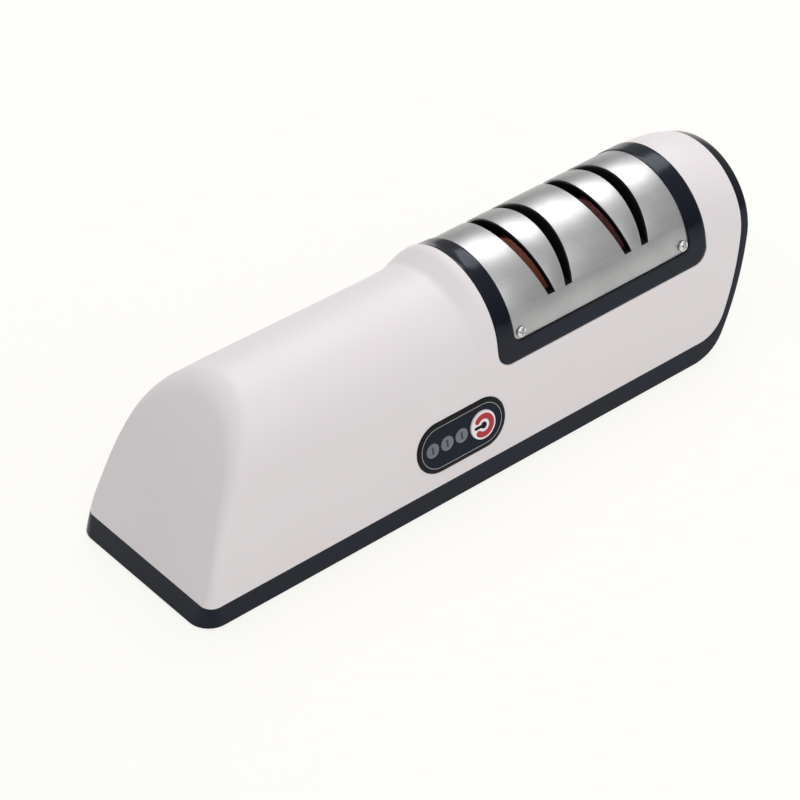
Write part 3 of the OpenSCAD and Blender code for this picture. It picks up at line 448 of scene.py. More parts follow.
def group(name, inputs, outputs, kind="ShaderNodeTree"):
    """A node group with named inputs (name, socket kind, value) and outputs (name, socket kind)."""
    tree = bpy.data.node_groups.new(name, kind)
    for label, socket_kind, value in inputs:
        socket = tree.interface.new_socket(label, in_out="INPUT", socket_type="NodeSocket" + socket_kind)
        if value is not None:
            socket.default_value = value
    for label, socket_kind in outputs:
        tree.interface.new_socket(label, in_out="OUTPUT", socket_type="NodeSocket" + socket_kind)
    return tree, tree.nodes.new("NodeGroupInput").outputs, tree.nodes.new("NodeGroupOutput").inputs


def node(tree, kind, values=None, **settings):
    """A new node: its settings first, then each input's value or the socket that feeds it."""
    made = tree.nodes.new(kind)
    for key, value in settings.items():
        setattr(made, key, value)
    for key, value in (values or {}).items():
        if isinstance(value, bpy.types.NodeSocket):
            tree.links.new(value, made.inputs[key])
        else:
            made.inputs[key].default_value = value
    return made


def mixed(tree, factor, a, b):
    return node(tree, "ShaderNodeMix", {0: factor, 6: a, 7: b}, data_type="RGBA").outputs[2]


def spread(tree, value, low, high, to_low=0.0, to_high=1.0):
    """The value's range from low to high, stretched over another range."""
    return node(tree, "ShaderNodeMapRange", {"Value": value, "From Min": low, "From Max": high,
                                             "To Min": to_low, "To Max": to_high}).outputs["Result"]


def skin_group(name, inputs):
    """A group for a surface: colours and roughness range go in, colour, roughness and normal come out."""
    shared = [("Light", "Color", (1, 1, 1, 1)), ("Dark", "Color", (0, 0, 0, 1)), ("Rough low", "Float", 0.3),
              ("Rough high", "Float", 0.4), ("Depth", "Float", 0.1)]
    tree, given, made = group(name, shared + inputs,
                              [("Color", "Color"), ("Roughness", "Float"), ("Normal", "Vector")])
    return tree, given, made, node(tree, "ShaderNodeTexCoord").outputs["Object"]


def moulded_texture():
    """Fine spark-eroded texture and slow unevenness of a plastic moulding."""
    tree, given, made, place = skin_group("moulded_texture", [("Grain", "Float", 900.0)])
    grain = node(tree, "ShaderNodeTexNoise", {"Vector": place, "Scale": given["Grain"], "Detail": 3.0})
    slow = node(tree, "ShaderNodeTexNoise", {"Vector": place, "Scale": 28.0, "Detail": 2.0}).outputs["Fac"]
    bump = node(tree, "ShaderNodeBump", {"Height": grain.outputs["Fac"], "Strength": given["Depth"],
                                         "Distance": 0.0001})
    rough = spread(tree, slow, 0.35, 0.65, given["Rough low"], given["Rough high"])
    tree.links.new(mixed(tree, slow, given["Light"], given["Dark"]), made["Color"])
    tree.links.new(rough, made["Roughness"])
    tree.links.new(bump.outputs["Normal"], made["Normal"])
    return tree


def brushed_texture():
    """Long fine scratches along one direction, from noise stretched along it, over faint cloudy patches."""
    tree, given, made, place = skin_group("brushed_texture", [("Stretch", "Vector", (40.0, 2600.0, 2600.0))])
    scaled = node(tree, "ShaderNodeVectorMath", {0: place, 1: given["Stretch"]}, operation="MULTIPLY")
    lines = node(tree, "ShaderNodeTexNoise", {"Vector": scaled.outputs[0], "Scale": 1.0, "Detail": 4.0,
                                              "Roughness": 0.65}).outputs["Fac"]
    cloud = node(tree, "ShaderNodeTexNoise", {"Vector": place, "Scale": 90.0, "Detail": 3.0}).outputs["Fac"]
    both = node(tree, "ShaderNodeMath", {0: lines, 1: 0.6, 2: cloud}, operation="MULTIPLY_ADD").outputs[0]
    bump = node(tree, "ShaderNodeBump", {"Height": lines, "Strength": given["Depth"], "Distance": 0.00005})
    rough = spread(tree, lines, 0.3, 0.7, given["Rough low"], given["Rough high"])
    shade = spread(tree, both, 0.55, 1.05)
    tree.links.new(mixed(tree, shade, given["Dark"], given["Light"]), made["Color"])
    tree.links.new(rough, made["Roughness"])
    tree.links.new(bump.outputs["Normal"], made["Normal"])
    return tree


def grit_texture():
    """Bonded abrasive grains, with a few bright ones and dark pores."""
    tree, given, made, place = skin_group("grit_texture", [("Grain", "Float", 2500.0)])
    cells = node(tree, "ShaderNodeTexVoronoi", {"Vector": place, "Scale": given["Grain"]}).outputs["Distance"]
    cloud = node(tree, "ShaderNodeTexNoise", {"Vector": place, "Scale": 500.0, "Detail": 4.0}).outputs["Fac"]
    speck = node(tree, "ShaderNodeMath", {0: cells, 1: cloud}, operation="MULTIPLY").outputs[0]
    bump = node(tree, "ShaderNodeBump", {"Height": cells, "Strength": given["Depth"], "Distance": 0.0001})
    tint = mixed(tree, spread(tree, speck, 0.05, 0.35), given["Dark"], given["Light"])
    rough = spread(tree, cloud, 0.3, 0.7, given["Rough low"], given["Rough high"])
    tree.links.new(tint, made["Color"])
    tree.links.new(rough, made["Roughness"])
    tree.links.new(bump.outputs["Normal"], made["Normal"])
    return tree


MOULDED, BRUSHED, GRIT = moulded_texture(), brushed_texture(), grit_texture()


def finish(name, texture, light, dark, rough, depth, texture_values=None, **shader_values):
    """A material: the texture group varies two colours, a roughness range and the surface's depth."""
    material = bpy.data.materials.new(name)
    material.use_nodes = True
    tree = material.node_tree
    shader = tree.nodes["Principled BSDF"]
    for key, value in shader_values.items():
        shader.inputs[key.replace("_", " ")].default_value = value
    skin = node(tree, "ShaderNodeGroup", node_tree=texture)
    given = {"Light": (*light, 1), "Dark": (*dark, 1), "Rough low": rough[0], "Rough high": rough[1],
             "Depth": depth, **(texture_values or {})}
    for key, value in given.items():
        skin.inputs[key].default_value = value
    tree.links.new(skin.outputs["Color"], shader.inputs["Base Color"])
    tree.links.new(skin.outputs["Roughness"], shader.inputs["Roughness"])
    tree.links.new(skin.outputs["Normal"], shader.inputs["Normal"])
    return material


def plastic(name, light, dark, rough=(0.3, 0.4), depth=0.05, grain=900.0, **shader_values):
    return finish(name, MOULDED, light, dark, rough, depth, {"Grain": grain}, **shader_values)


def metal(name, light, dark, rough=(0.2, 0.4), depth=0.1, stretch=(40.0, 2600.0, 2600.0)):
    return finish(name, BRUSHED, light, dark, rough, depth, {"Stretch": stretch}, Metallic=1.0)


EVEN, ROUND = (700.0, 700.0, 700.0), (2600.0, 60.0, 60.0)     # unbrushed, and turned about the x axis
SHELL = plastic("shell_white", (0.762, 0.719, 0.734), (0.744, 0.698, 0.713), (0.42, 0.5), 0.04,
                Specular_IOR_Level=0.3)
NAVY = plastic("navy_black", (0.0018, 0.0026, 0.0066), (0.0024, 0.0034, 0.0084), (0.17, 0.22), 0.05,
               Specular_IOR_Level=0.27, Specular_Tint=(0.72, 0.82, 1.0, 1))
INNER = plastic("inner_abs", (0.004, 0.004, 0.005), (0.006, 0.006, 0.007), (0.5, 0.65), 0.15,
                Specular_IOR_Level=0.08)
STEEL = metal("cover_steel", (0.51, 0.507, 0.51), (0.41, 0.41, 0.42), (0.355, 0.455), 0.16,
              (30.0, 5200.0, 5200.0))
SCREW = metal("screw_steel", (0.8, 0.79, 0.78), (0.6, 0.6, 0.6), (0.18, 0.3), 0.05, EVEN)
ZINC = metal("zinc_plate", (0.62, 0.62, 0.6), (0.45, 0.45, 0.44), (0.3, 0.45), 0.08, EVEN)
TURNED = metal("turned_steel", (0.7, 0.7, 0.7), (0.5, 0.5, 0.5), (0.15, 0.3), 0.08, ROUND)
BRASS = metal("brass", (0.72, 0.52, 0.24), (0.5, 0.36, 0.15), (0.2, 0.35), 0.06, ROUND)
COPPER = metal("copper", (0.7, 0.34, 0.17), (0.42, 0.2, 0.1), (0.25, 0.4), 0.3, ROUND)
NICKEL = metal("nickel_strip", (0.66, 0.64, 0.58), (0.5, 0.49, 0.45), (0.25, 0.4), 0.05)
FINE = finish("fine_abrasive", GRIT, (0.42, 0.125, 0.07), (0.15, 0.038, 0.026), (0.5, 0.8), 0.5,
              Specular_IOR_Level=0.25)
COARSE = finish("coarse_abrasive", GRIT, (0.23, 0.065, 0.075), (0.08, 0.022, 0.027), (0.6, 0.9), 0.7,
                {"Grain": 1500.0}, Specular_IOR_Level=0.25)
RUBBER = plastic("rubber_black", (0.02, 0.02, 0.02), (0.03, 0.03, 0.03), (0.7, 0.85), 0.4)
BUTTON = plastic("button_white", (0.84, 0.79, 0.82), (0.81, 0.76, 0.79), (0.25, 0.33), 0.02)
LENS = plastic("lens_grey", (0.15, 0.155, 0.18), (0.12, 0.125, 0.145), (0.2, 0.3), 0.02)
FILM = plastic("panel_film", (0.006, 0.008, 0.0155), (0.007, 0.009, 0.018), (0.26, 0.34), 0.03,
               Specular_IOR_Level=0.13, Specular_Tint=(0.7, 0.82, 1.0, 1))
BORDER_DARK = plastic("panel_border", (0.005, 0.005, 0.0075), (0.006, 0.006, 0.009), (0.35, 0.45), 0.1,
                      Specular_IOR_Level=0.13)
SILVER = metal("silver_line", (0.6, 0.6, 0.62), (0.5, 0.5, 0.52), (0.3, 0.4), 0.02, EVEN)
RED = plastic("mark_red", (0.44, 0.035, 0.05), (0.4, 0.03, 0.045), (0.4, 0.5), 0.02, Specular_IOR_Level=0.2)
INK = plastic("mark_black", (0.006, 0.004, 0.01), (0.008, 0.006, 0.012), (0.4, 0.5), 0.02,
              Specular_IOR_Level=0.1)
LENS_MARK = plastic("lens_mark", (0.015, 0.016, 0.024), (0.02, 0.021, 0.03), (0.3, 0.4), 0.02)
BOARD = plastic("board_green", (0.01, 0.09, 0.035), (0.015, 0.12, 0.05), (0.3, 0.4), 0.1)
SLEEVE = plastic("cell_sleeve", (0.03, 0.1, 0.26), (0.035, 0.12, 0.3), (0.2, 0.3), 0.03)
MAGNET = plastic("magnet", (0.04, 0.04, 0.042), (0.06, 0.06, 0.062), (0.5, 0.65), 0.3)
PLUNGER = plastic("plunger_red", (0.35, 0.02, 0.02), (0.3, 0.02, 0.02), (0.35, 0.45), 0.05)
LED = plastic("led_resin", (0.75, 0.8, 0.85), (0.7, 0.75, 0.8), (0.08, 0.15), 0.01,
              Transmission_Weight=0.6, IOR=1.5)

NODE_LOOKS = {
    "top_housing": SHELL, "base_cover": NAVY, "slot_bezel": NAVY, "slot_cover": STEEL, "cover_screws": SCREW,
    "knife_guide": INNER, "control_panel": BORDER_DARK, "panel_overlay": FILM, "power_button": BUTTON,
    "indicator_lenses": LENS, "control_board": BOARD, "board_screws": ZINC, "tact_switch": INNER,
    "switch_plunger": PLUNGER, "indicator_leds": LED, "charge_port": SCREW, "charge_contacts": INNER,
    "charge_board": BOARD, "battery_cell_front": SLEEVE, "battery_cell_rear": SLEEVE, "battery_tabs": NICKEL,
    "chassis": INNER, "motor_can": TURNED, "motor_magnets": MAGNET, "motor_end_bell": INNER,
    "motor_terminals": BRASS, "motor_armature": COPPER, "motor_bracket": ZINC, "motor_screws": ZINC,
    "shaft_coupler": BRASS, "spindle": TURNED, "fine_wheel": FINE, "coarse_wheel": COARSE, "fine_hub": ZINC,
    "coarse_hub": ZINC, "wheel_spacer": BRASS, "retaining_nut": ZINC, "bearing_left": TURNED,
    "bearing_right": TURNED, "bearing_caps": INNER, "cap_screws": ZINC, "base_screws": ZINC,
    "rubber_feet": RUBBER}
for name, material in NODE_LOOKS.items():
    slots = nodes[name].data.materials
    slots.clear()
    slots.append(material)

# ---- housing and base --------------------------------------------------------------------

port_outline = stadium(PORT_W + PORT_MARGIN, PORT_H + PORT_MARGIN)
port_hole = loft([[(PANEL_X + a, y, PORT_Z + b) for a, b in port_outline]
                  for y in (wall_y(PORT_Z) - WALL - 2, wall_y(PORT_Z) + 5)])
housing = tidy_mesh(piece("housing_shell", loft(body_rings(), caps="strips")))
cut(housing, side_prism(above_base()), operation="INTERSECT")
cut(housing, loft(body_rings(WALL, END_WALL), caps="strips"),
    side_prism(u_outline(BEZEL_X, BEZEL_X1, BEZEL_Z, SKY, BEZEL_CORNER_R)),
    stadium_band(PANEL_L, PANEL_W, [(0, CUT_LOW), (0, CUT_HIGH)]), port_hole)
finish_piece(tidy_mesh(housing), SHELL, replaces=("top_housing",))

base = tidy_mesh(piece("base_shell", loft(body_rings(z0=BASE_LOW), caps="strips")))
cut(base, side_prism(above_base()), loft(body_rings(WALL, END_WALL, FLOOR_T), caps="strips"))
pockets = [peg(x, s * POST_Y, -1, SCREW_POCKET_H, SCREW_POCKET_R) for x in POST_X for s in (-1, 1)]
pockets += [peg(x, s * FOOT_Y, -1, FOOT_POCKET_H, FOOT_POCKET_R) for x in FOOT_X for s in (-1, 1)]
cut(base, *pockets)
finish_piece(tidy_mesh(base), NAVY, replaces=("base_cover",))

# ---- bezel and steel cover ---------------------------------------------------------------


def bezel_crown(x):
    """Crown height of the bezel's face: its left band falls from the shell's rim to the cover."""
    places = [BEZEL_X, BEZEL_X + 2.4, COVER_X, BEZEL_X1 + 1]
    return float(np.interp(x, places, [RIM_H - 0.05, BEZEL_H + 0.1, BEZEL_H - 0.05, BEZEL_H - 0.4]))


def arch_spot(x, side, crown, lift, z=None, angle=None):
    """A point on an arch, by its height or its angle, lifted outwards from it."""
    r, zc = arch_r(crown), crown - arch_r(crown)
    if angle is None and z <= zc + r * math.sin(DRAFT):
        return (x, side * (wall_y(z) + lift * math.cos(DRAFT)), z + lift * math.sin(DRAFT))
    a = math.asin((z - zc) / r) if angle is None else angle
    return (x, side * (r + lift) * math.cos(a), zc + (r + lift) * math.sin(a))


def bezel_leg(x, z0, lift, n=34):
    """Points from the front at height z0 over the crown to the rear, evenly along the arch."""
    crown = bezel_crown(x)
    r, zc = arch_r(crown), crown - arch_r(crown)
    top = zc + r * math.sin(DRAFT)
    straight = max(0.0, (top - z0) / math.cos(DRAFT))
    a0 = max(DRAFT, math.asin(max(-1.0, min(1.0, (z0 - zc) / r)))) if z0 > top else DRAFT
    whole = straight + r * (math.pi / 2 - a0)
    front = []
    for i in range(n + 1):
        far = whole * i / n
        if far < straight:
            front.append(arch_spot(x, -1, crown, lift, z=z0 + far * math.cos(DRAFT)))
        else:
            front.append(arch_spot(x, -1, crown, lift, angle=a0 + (far - straight) / r))
    return front + [(x, -y, z) for x, y, z in front[-2::-1]]


def bezel_loop(d, lift, r):
    """One closed line round the bezel: over both legs and along the foot of both walls."""
    aside = d * SIDE_BORDER / BORDER
    x0, x1, z0 = BEZEL_X + aside, BEZEL_X1 - aside, BEZEL_Z + d * math.cos(DRAFT)
    quarter = [math.pi / 2 * i / 10 for i in range(1, 11)]

    def foot(side):
        left = [(x0 + r - r * math.cos(a), z0 + r - r * math.sin(a)) for a in quarter]
        across = [(x0 + r + (x1 - x0 - 2 * r) * i / 8, z0) for i in range(1, 8)]
        rest = [(x1 - r + r * math.cos(a), z0 + r - r * math.sin(a)) for a in quarter[::-1]]
        return [arch_spot(x, side, bezel_crown(x), lift, z=z) for x, z in left + across + rest]

    return (bezel_leg(x0, z0 + r, lift) + foot(1) + bezel_leg(x1, z0 + r, lift)[::-1] + foot(-1)[::-1])


# inset from the shell's opening, height over the bezel's face, and corner radius: from skirt to shelf
inner_d, deep = BORDER - GAP, WALL + SEAT + 0.3
bezel_profile = [(GAP, -deep, 5.0), (GAP, -0.3, 5.0), (GAP + 0.04, -0.13, 5.0), (GAP + 0.13, -0.04, 4.95),
                 (GAP + 0.3, 0, 4.9)] + [(d, 0, 5 - 0.38 * d) for d in (1.2, 2.2, 3.2, 4.2, 5.2)]
bezel_profile += [(inner_d - 0.25, 0, 2.7), (inner_d - 0.1, -0.04, 2.66), (inner_d - 0.03, -0.12, 2.62),
                  (inner_d, -0.25, COVER_CORNER_R), (inner_d, -RECESS - COVER_T - SEAT, COVER_CORNER_R),
                  (BORDER + LEDGE, -RECESS - COVER_T - SEAT, 8.0), (BORDER + LEDGE, -deep, 8.0)]
bezel = piece("bezel_frame", loft([bezel_loop(d, t, r) for d, t, r in bezel_profile], loop=True))
finish_piece(tidy_mesh(bezel), NAVY, replaces=("slot_bezel",))


def slot_edges(z):
    """x of the two edges of each slot at height z, straight down below the slots' lower ends."""
    rise, edges = max(0.0, z - SLOT_Z), []
    for stage in STAGES:
        for side in (-1, 1):
            mid = stage + side * (SLOT_GAP / 2 + rise * math.tan(SLOT_TILT))
            half = SLOT_W / 2 + SLOT_FLARE * rise / 2
            edges += [mid - half, mid + half]
    return edges


def cover_sheet():
    """The steel sheet's outer face: rows up the front, over the crown and down the rear."""
    r_face, zc = arch_r(BEZEL_H) - RECESS, BEZEL_H - arch_r(BEZEL_H)
    corner_n, wall_n, arc_n, columns = 9, 5, 30, 10
    low = [COVER_Z + COVER_CORNER_R * (1 - math.cos(math.pi / 2 * i / corner_n)) for i in range(corner_n + 1)]
    slot_a = math.asin((SLOT_Z - zc) / r_face)
    low_a = math.asin((low[-1] - zc) / r_face)
    angles = [low_a + (slot_a - low_a) * i / wall_n for i in range(1, wall_n + 1)]
    angles += [slot_a + (math.pi / 2 - slot_a) * i / arc_n for i in range(1, arc_n + 1)]
    heights = low + [zc + r_face * math.sin(a) for a in angles]
    points, faces, first_open = [], [], len(low) + wall_n - 1
    for i, z in enumerate(heights):
        dip = COVER_CORNER_R - (z - COVER_Z)
        round_in = COVER_CORNER_R - math.sqrt(COVER_CORNER_R ** 2 - dip ** 2) if dip > 0 else 0.0
        xs = [COVER_X + round_in] + slot_edges(z) + [COVER_X1 - round_in]
        for x in xs:
            if i < len(low):
                points.append(arch_spot(x, -1, BEZEL_H, -RECESS, z=z))
            else:
                points.append(arch_spot(x, -1, BEZEL_H, -RECESS, angle=angles[i - len(low)]))
    front, n = list(points), columns
    for i in range(len(heights) - 2, -1, -1):
        points += [(x, -y, z) for x, y, z in front[i * n:i * n + n]]
    rows = len(points) // n
    for i in range(rows - 1):
        in_slots = first_open <= i < rows - 1 - first_open
        faces += [(i * n + k, i * n + k + 1, (i + 1) * n + k + 1, (i + 1) * n + k)
                  for k in range(n - 1) if k % 2 == 0 or not in_slots]
    return points, faces


cover = tidy_mesh(piece("steel_cover", cover_sheet()), turn_out=False)
sheet = cover.modifiers.new("sheet", "SOLIDIFY")
sheet.thickness, sheet.offset, sheet.use_even_offset = COVER_T * 0.001, -1, True
bevelled(baked(cover), COVER_EDGE_R, 3)
finish_piece(tidy_mesh(cover), STEEL, replaces=("slot_cover",))

# ---- screws ------------------------------------------------------------------------------


def screw_tree():
    """Domed screws with a cross recess, one on each spot, seated there and facing as the spot says."""
    tree, given, made = group("cross_head_screws", [
        ("Spots", "Geometry", None), ("Head diameter", "Float", 0.004), ("Head height", "Float", 0.001),
        ("Recess length", "Float", 0.002), ("Recess width", "Float", 0.0005),
        ("Recess depth", "Float", 0.0005), ("Shank diameter", "Float", 0.002),
        ("Shank length", "Float", 0.007), ("Seed", "Int", 1), ("Finish", "Material", None)],
        [("Screws", "Geometry")], "GeometryNodeTree")
    block, overlap, blade_h = 0.02, 0.0001, 0.002     # cube under the dome, its play, the cross's cutter

    def math_node(operation, a, b):
        return node(tree, "ShaderNodeMath", {0: a, 1: b}, operation=operation).outputs[0]

    def vector(x, y, z):
        return node(tree, "ShaderNodeCombineXYZ", {"X": x, "Y": y, "Z": z}).outputs[0]

    def moved(shape, place, turn=(0.0, 0.0, 0.0), scale=(1.0, 1.0, 1.0)):
        return node(tree, "GeometryNodeTransform", {"Geometry": shape, "Translation": place, "Rotation": turn,
                                                    "Scale": scale}).outputs["Geometry"]

    radius, height = math_node("DIVIDE", given["Head diameter"], 2.0), given["Head height"]
    rim = math_node("MULTIPLY", height, 0.35)
    dome = math_node("SUBTRACT", height, rim)
    disc = node(tree, "GeometryNodeMeshCylinder", {"Vertices": 48, "Radius": radius, "Depth": rim})
    ball = node(tree, "GeometryNodeMeshUVSphere", {"Segments": 48, "Rings": 24, "Radius": 1.0})
    bowl = moved(ball.outputs["Mesh"], vector(0.0, 0.0, rim), scale=vector(radius, radius, dome))
    rim_disc = moved(disc.outputs["Mesh"], vector(0.0, 0.0, math_node("DIVIDE", rim, 2.0)))
    below = node(tree, "GeometryNodeMeshCube", {"Size": (block, block, block)}).outputs["Mesh"]
    upper = node(tree, "GeometryNodeMeshBoolean", {"Mesh 1": bowl}, operation="DIFFERENCE")
    sunk = vector(0.0, 0.0, math_node("SUBTRACT", rim, block / 2 + overlap))
    tree.links.new(moved(below, sunk), upper.inputs["Mesh 2"])
    head = node(tree, "GeometryNodeMeshBoolean", operation="UNION")
    tree.links.new(upper.outputs["Mesh"], head.inputs["Mesh 2"])
    tree.links.new(rim_disc, head.inputs["Mesh 2"])
    crossed = node(tree, "GeometryNodeMeshBoolean", {"Mesh 1": head.outputs["Mesh"]}, operation="DIFFERENCE")
    size = vector(given["Recess length"], given["Recess width"], blade_h)
    blade = node(tree, "GeometryNodeMeshCube", {"Size": size}).outputs["Mesh"]
    low = math_node("SUBTRACT", math_node("ADD", height, blade_h / 2), given["Recess depth"])
    for angle in (0.0, math.pi / 2):
        tree.links.new(moved(blade, vector(0.0, 0.0, low), (0.0, 0.0, angle)), crossed.inputs["Mesh 2"])
    shank = node(tree, "GeometryNodeMeshCylinder", {
        "Vertices": 24, "Radius": math_node("DIVIDE", given["Shank diameter"], 2.0),
        "Depth": given["Shank length"]})
    screw = node(tree, "GeometryNodeJoinGeometry")
    tree.links.new(crossed.outputs["Mesh"], screw.inputs[0])
    half = math_node("DIVIDE", given["Shank length"], -2.0)
    tree.links.new(moved(shank.outputs["Mesh"], vector(0.0, 0.0, half)), screw.inputs[0])
    facing = node(tree, "GeometryNodeInputNamedAttribute", {"Name": "facing"}, data_type="FLOAT_VECTOR")
    turned = node(tree, "FunctionNodeAlignRotationToVector", {"Vector": facing.outputs["Attribute"]},
                  axis="Z")
    chance = node(tree, "FunctionNodeRandomValue", {"Max": math.pi, "Seed": given["Seed"]}, data_type="FLOAT")
    spin = [socket for socket in chance.outputs if socket.enabled][0]
    twist = node(tree, "FunctionNodeAxisAngleToRotation", {"Axis": (0.0, 0.0, 1.0), "Angle": spin})
    spun = node(tree, "FunctionNodeRotateRotation",
                {"Rotation": turned.outputs[0], "Rotate By": twist.outputs[0]}, rotation_space="LOCAL")
    placed = node(tree, "GeometryNodeInstanceOnPoints",
                  {"Points": given["Spots"], "Instance": screw.outputs[0], "Rotation": spun.outputs[0]})
    real = node(tree, "GeometryNodeRealizeInstances", {"Geometry": placed.outputs[0]})
    coated = node(tree, "GeometryNodeSetMaterial", {"Geometry": real.outputs[0], "Material": given["Finish"]})
    tree.links.new(coated.outputs[0], made["Screws"])
    return tree


SCREWS = screw_tree()


def screws(name, spots, sizes, material, replaces, seed=3):
    """Screws on spots, each a place and a direction in the drawing frame; sizes in millimetres."""
    mesh = bpy.data.meshes.new(name)
    mesh.from_pydata([tuple(row(place)[0]) for place, facing in spots], [], [])
    facing = mesh.attributes.new("facing", "FLOAT_VECTOR", "POINT")
    facing.data.foreach_set("vector", [c for place, out in spots for c in out])
    obj = new_object(name, mesh)
    mod = obj.modifiers.new("screws", "NODES")
    mod.node_group = SCREWS
    values = {**{key: value * 0.001 for key, value in sizes.items()}, "Seed": seed, "Finish": material}
    for item in SCREWS.interface.items_tree:
        if item.in_out == "INPUT" and item.name in values:
            mod[item.identifier] = values[item.name]
    finish_piece(tidy_mesh(baked(obj)), material, replaces=(replaces,))


COVER_SCREW = {"Head diameter": 3.4, "Head height": 1.0, "Recess length": 2.1, "Recess width": 0.55,
               "Recess depth": 0.5, "Shank diameter": 2.2, "Shank length": 7.0}
BASE_SCREW = {"Head diameter": 5.4, "Head height": 1.8, "Recess length": 3.2, "Recess width": 0.8,
              "Recess depth": 1.0, "Shank diameter": 2.2, "Shank length": 9.2}
cover_spots = []
for x in (COVER_X + COVER_SCREW_IN_LEFT, COVER_X1 - COVER_SCREW_IN_RIGHT):
    px, py, pz = on_front([(0, 0, -RECESS + GAP)], x, COVER_Z + COVER_SCREW_UP)[0]
    cover_spots += [((px, s * py, pz), (0, -s * math.cos(DRAFT), math.sin(DRAFT))) for s in (1, -1)]
base_spots = [((x, s * POST_Y, SCREW_POCKET_H - SEAT), (0, 0, -1)) for x in POST_X for s in (-1, 1)]
screws("cover_screws_fine", cover_spots, COVER_SCREW, SCREW, "cover_screws")
screws("base_screws_fine", base_spots, BASE_SCREW, ZINC, "base_screws")

# ---- control panel -----------------------------------------------------------------------

# inset from the opening and height over the wall: flange inside, round edge outside, recess for the film
rim_profile = [(GAP - FLANGE_W, -PANEL_BACK), (GAP - FLANGE_W, -WALL - SEAT), (GAP, -WALL - SEAT), (GAP, 0.1),
               (GAP + 0.04, 0.22), (GAP + 0.13, 0.31), (GAP + 0.26, PROUD), (FILM_INSET, PROUD),
               (FILM_INSET, PROUD - FILM_RECESS)]
panel = tidy_mesh(piece("panel_rim", stadium_band(PANEL_L, PANEL_W, rim_profile)))
holes = [turned_front([(LENS_R + LENS_GAP, z) for z in (CUT_LOW, CUT_HIGH)], x, LENS_N) for x in LENS_X]
button_hole = turned_front([(BUTTON_R + GAP, z) for z in (CUT_LOW, CUT_HIGH)], BUTTON_X)
cut(panel, button_hole, *holes)
finish_piece(tidy_mesh(panel), BORDER_DARK, replaces=("control_panel",))

film_profile = [(FILM_INSET + FILM_GAP, PROUD - 0.28), (FILM_INSET + FILM_GAP, PROUD - 0.06),
                (FILM_INSET + FILM_GAP + 0.03, PROUD - 0.03)]
film = tidy_mesh(piece("panel_film", stadium_band(PANEL_L, PANEL_W, film_profile)))
cut(film, button_hole, *holes)
finish_piece(tidy_mesh(film), FILM, replaces=("panel_overlay",))

line_profile = [(LINE_INSET + d, PROUD + h) for d, h in (
    (0, CLEAR), (0, LINE_T), (LINE_W, LINE_T), (LINE_W, CLEAR))]
line = piece("silver_line", stadium_band(PANEL_L, PANEL_W, line_profile, loop=True))
finish_piece(tidy_mesh(line), SILVER)

lens_profile = [(LENS_R, -PANEL_BACK - 0.8), (LENS_R, PROUD - 0.12), (LENS_R - 0.04, PROUD - 0.06),
                (LENS_R - 0.14, PROUD - 0.02), (1.5, PROUD + 0.01), (0.6, PROUD + 0.03)]
lenses = piece("lamp_lenses", *[turned_front(lens_profile, x, LENS_N) for x in LENS_X])
finish_piece(tidy_mesh(lenses), LENS, replaces=("indicator_lenses",))
bar = [(LENS_BAR_W / 2 * x, LENS_BAR_L / 2 * y) for x, y in ((-1, -1), (1, -1), (1, 1), (-1, 1))]
marks = piece("lamp_marks", *[stamp(bar, PROUD + 0.02, PROUD + 0.05, x) for x in LENS_X])
finish_piece(tidy_mesh(marks), LENS_MARK)

button_profile = [(BUTTON_R + BUTTON_FLANGE, -PANEL_BACK - SEAT - BUTTON_FLANGE),
                  (BUTTON_R + BUTTON_FLANGE, -PANEL_BACK - SEAT), (BUTTON_R, -PANEL_BACK - SEAT)]
button_profile += [(BUTTON_R - BUTTON_EDGE_R * (1 - math.cos(a)),
                    BUTTON_FACE - BUTTON_EDGE_R * (1 - math.sin(a)))
                   for a in (math.pi / 2 * i / 6 for i in range(7))]
button_profile += [(BUTTON_R - 0.8, BUTTON_FACE), (2.0, BUTTON_FACE - 0.01)]
button = piece("button_cap", turned_front(button_profile, BUTTON_X))
finish_piece(tidy_mesh(button), BUTTON, "button", replaces=("power_button",))


def open_ring(r, half_width, reach, n=60):
    """Outline of a ring that is open towards the left, with round ends; reach is half of its angle."""
    outer = [((r + half_width) * math.cos(a), (r + half_width) * math.sin(a))
             for a in (-reach + 2 * reach * i / n for i in range(n + 1))]
    inner = [((r - half_width) * math.cos(a), (r - half_width) * math.sin(a))
             for a in (reach - 2 * reach * i / n for i in range(n + 1))]

    def round_end(at, start):
        cx, cy = r * math.cos(at), r * math.sin(at)
        return [(cx + half_width * math.cos(a), cy + half_width * math.sin(a))
                for a in (start + math.pi * i / 8 for i in range(1, 8))]

    return outer + round_end(reach, reach) + inner + round_end(-reach, -reach + math.pi)


def dot_and_stem(dot_r, half_width, stem_l, n=48):
    """Outline of a dot with a round-ended stem running left from it."""
    start = math.pi - math.asin(half_width / dot_r)
    dot = [(dot_r * math.cos(a), dot_r * math.sin(a))
           for a in (-start + 2 * start * i / n for i in range(n + 1))]
    end = [(-stem_l + half_width - half_width * math.sin(a), half_width * math.cos(a))
           for a in (math.pi * i / 8 for i in range(9))]
    return dot + end


ring = piece("button_ring", stamp(open_ring(RING_R, RING_HALF_W, RING_REACH), BUTTON_FACE - CLEAR,
                                  BUTTON_FACE + MARK_T, BUTTON_X))
finish_piece(tidy_mesh(ring), RED, "button")
dot = piece("button_dot", stamp(dot_and_stem(DOT_R, STEM_HALF_W, STEM_L), BUTTON_FACE - CLEAR,
                                BUTTON_FACE + MARK_T + CLEAR, BUTTON_X))
finish_piece(tidy_mesh(dot), INK, "button")

# ---- wheels ------------------------------------------------------------------------------


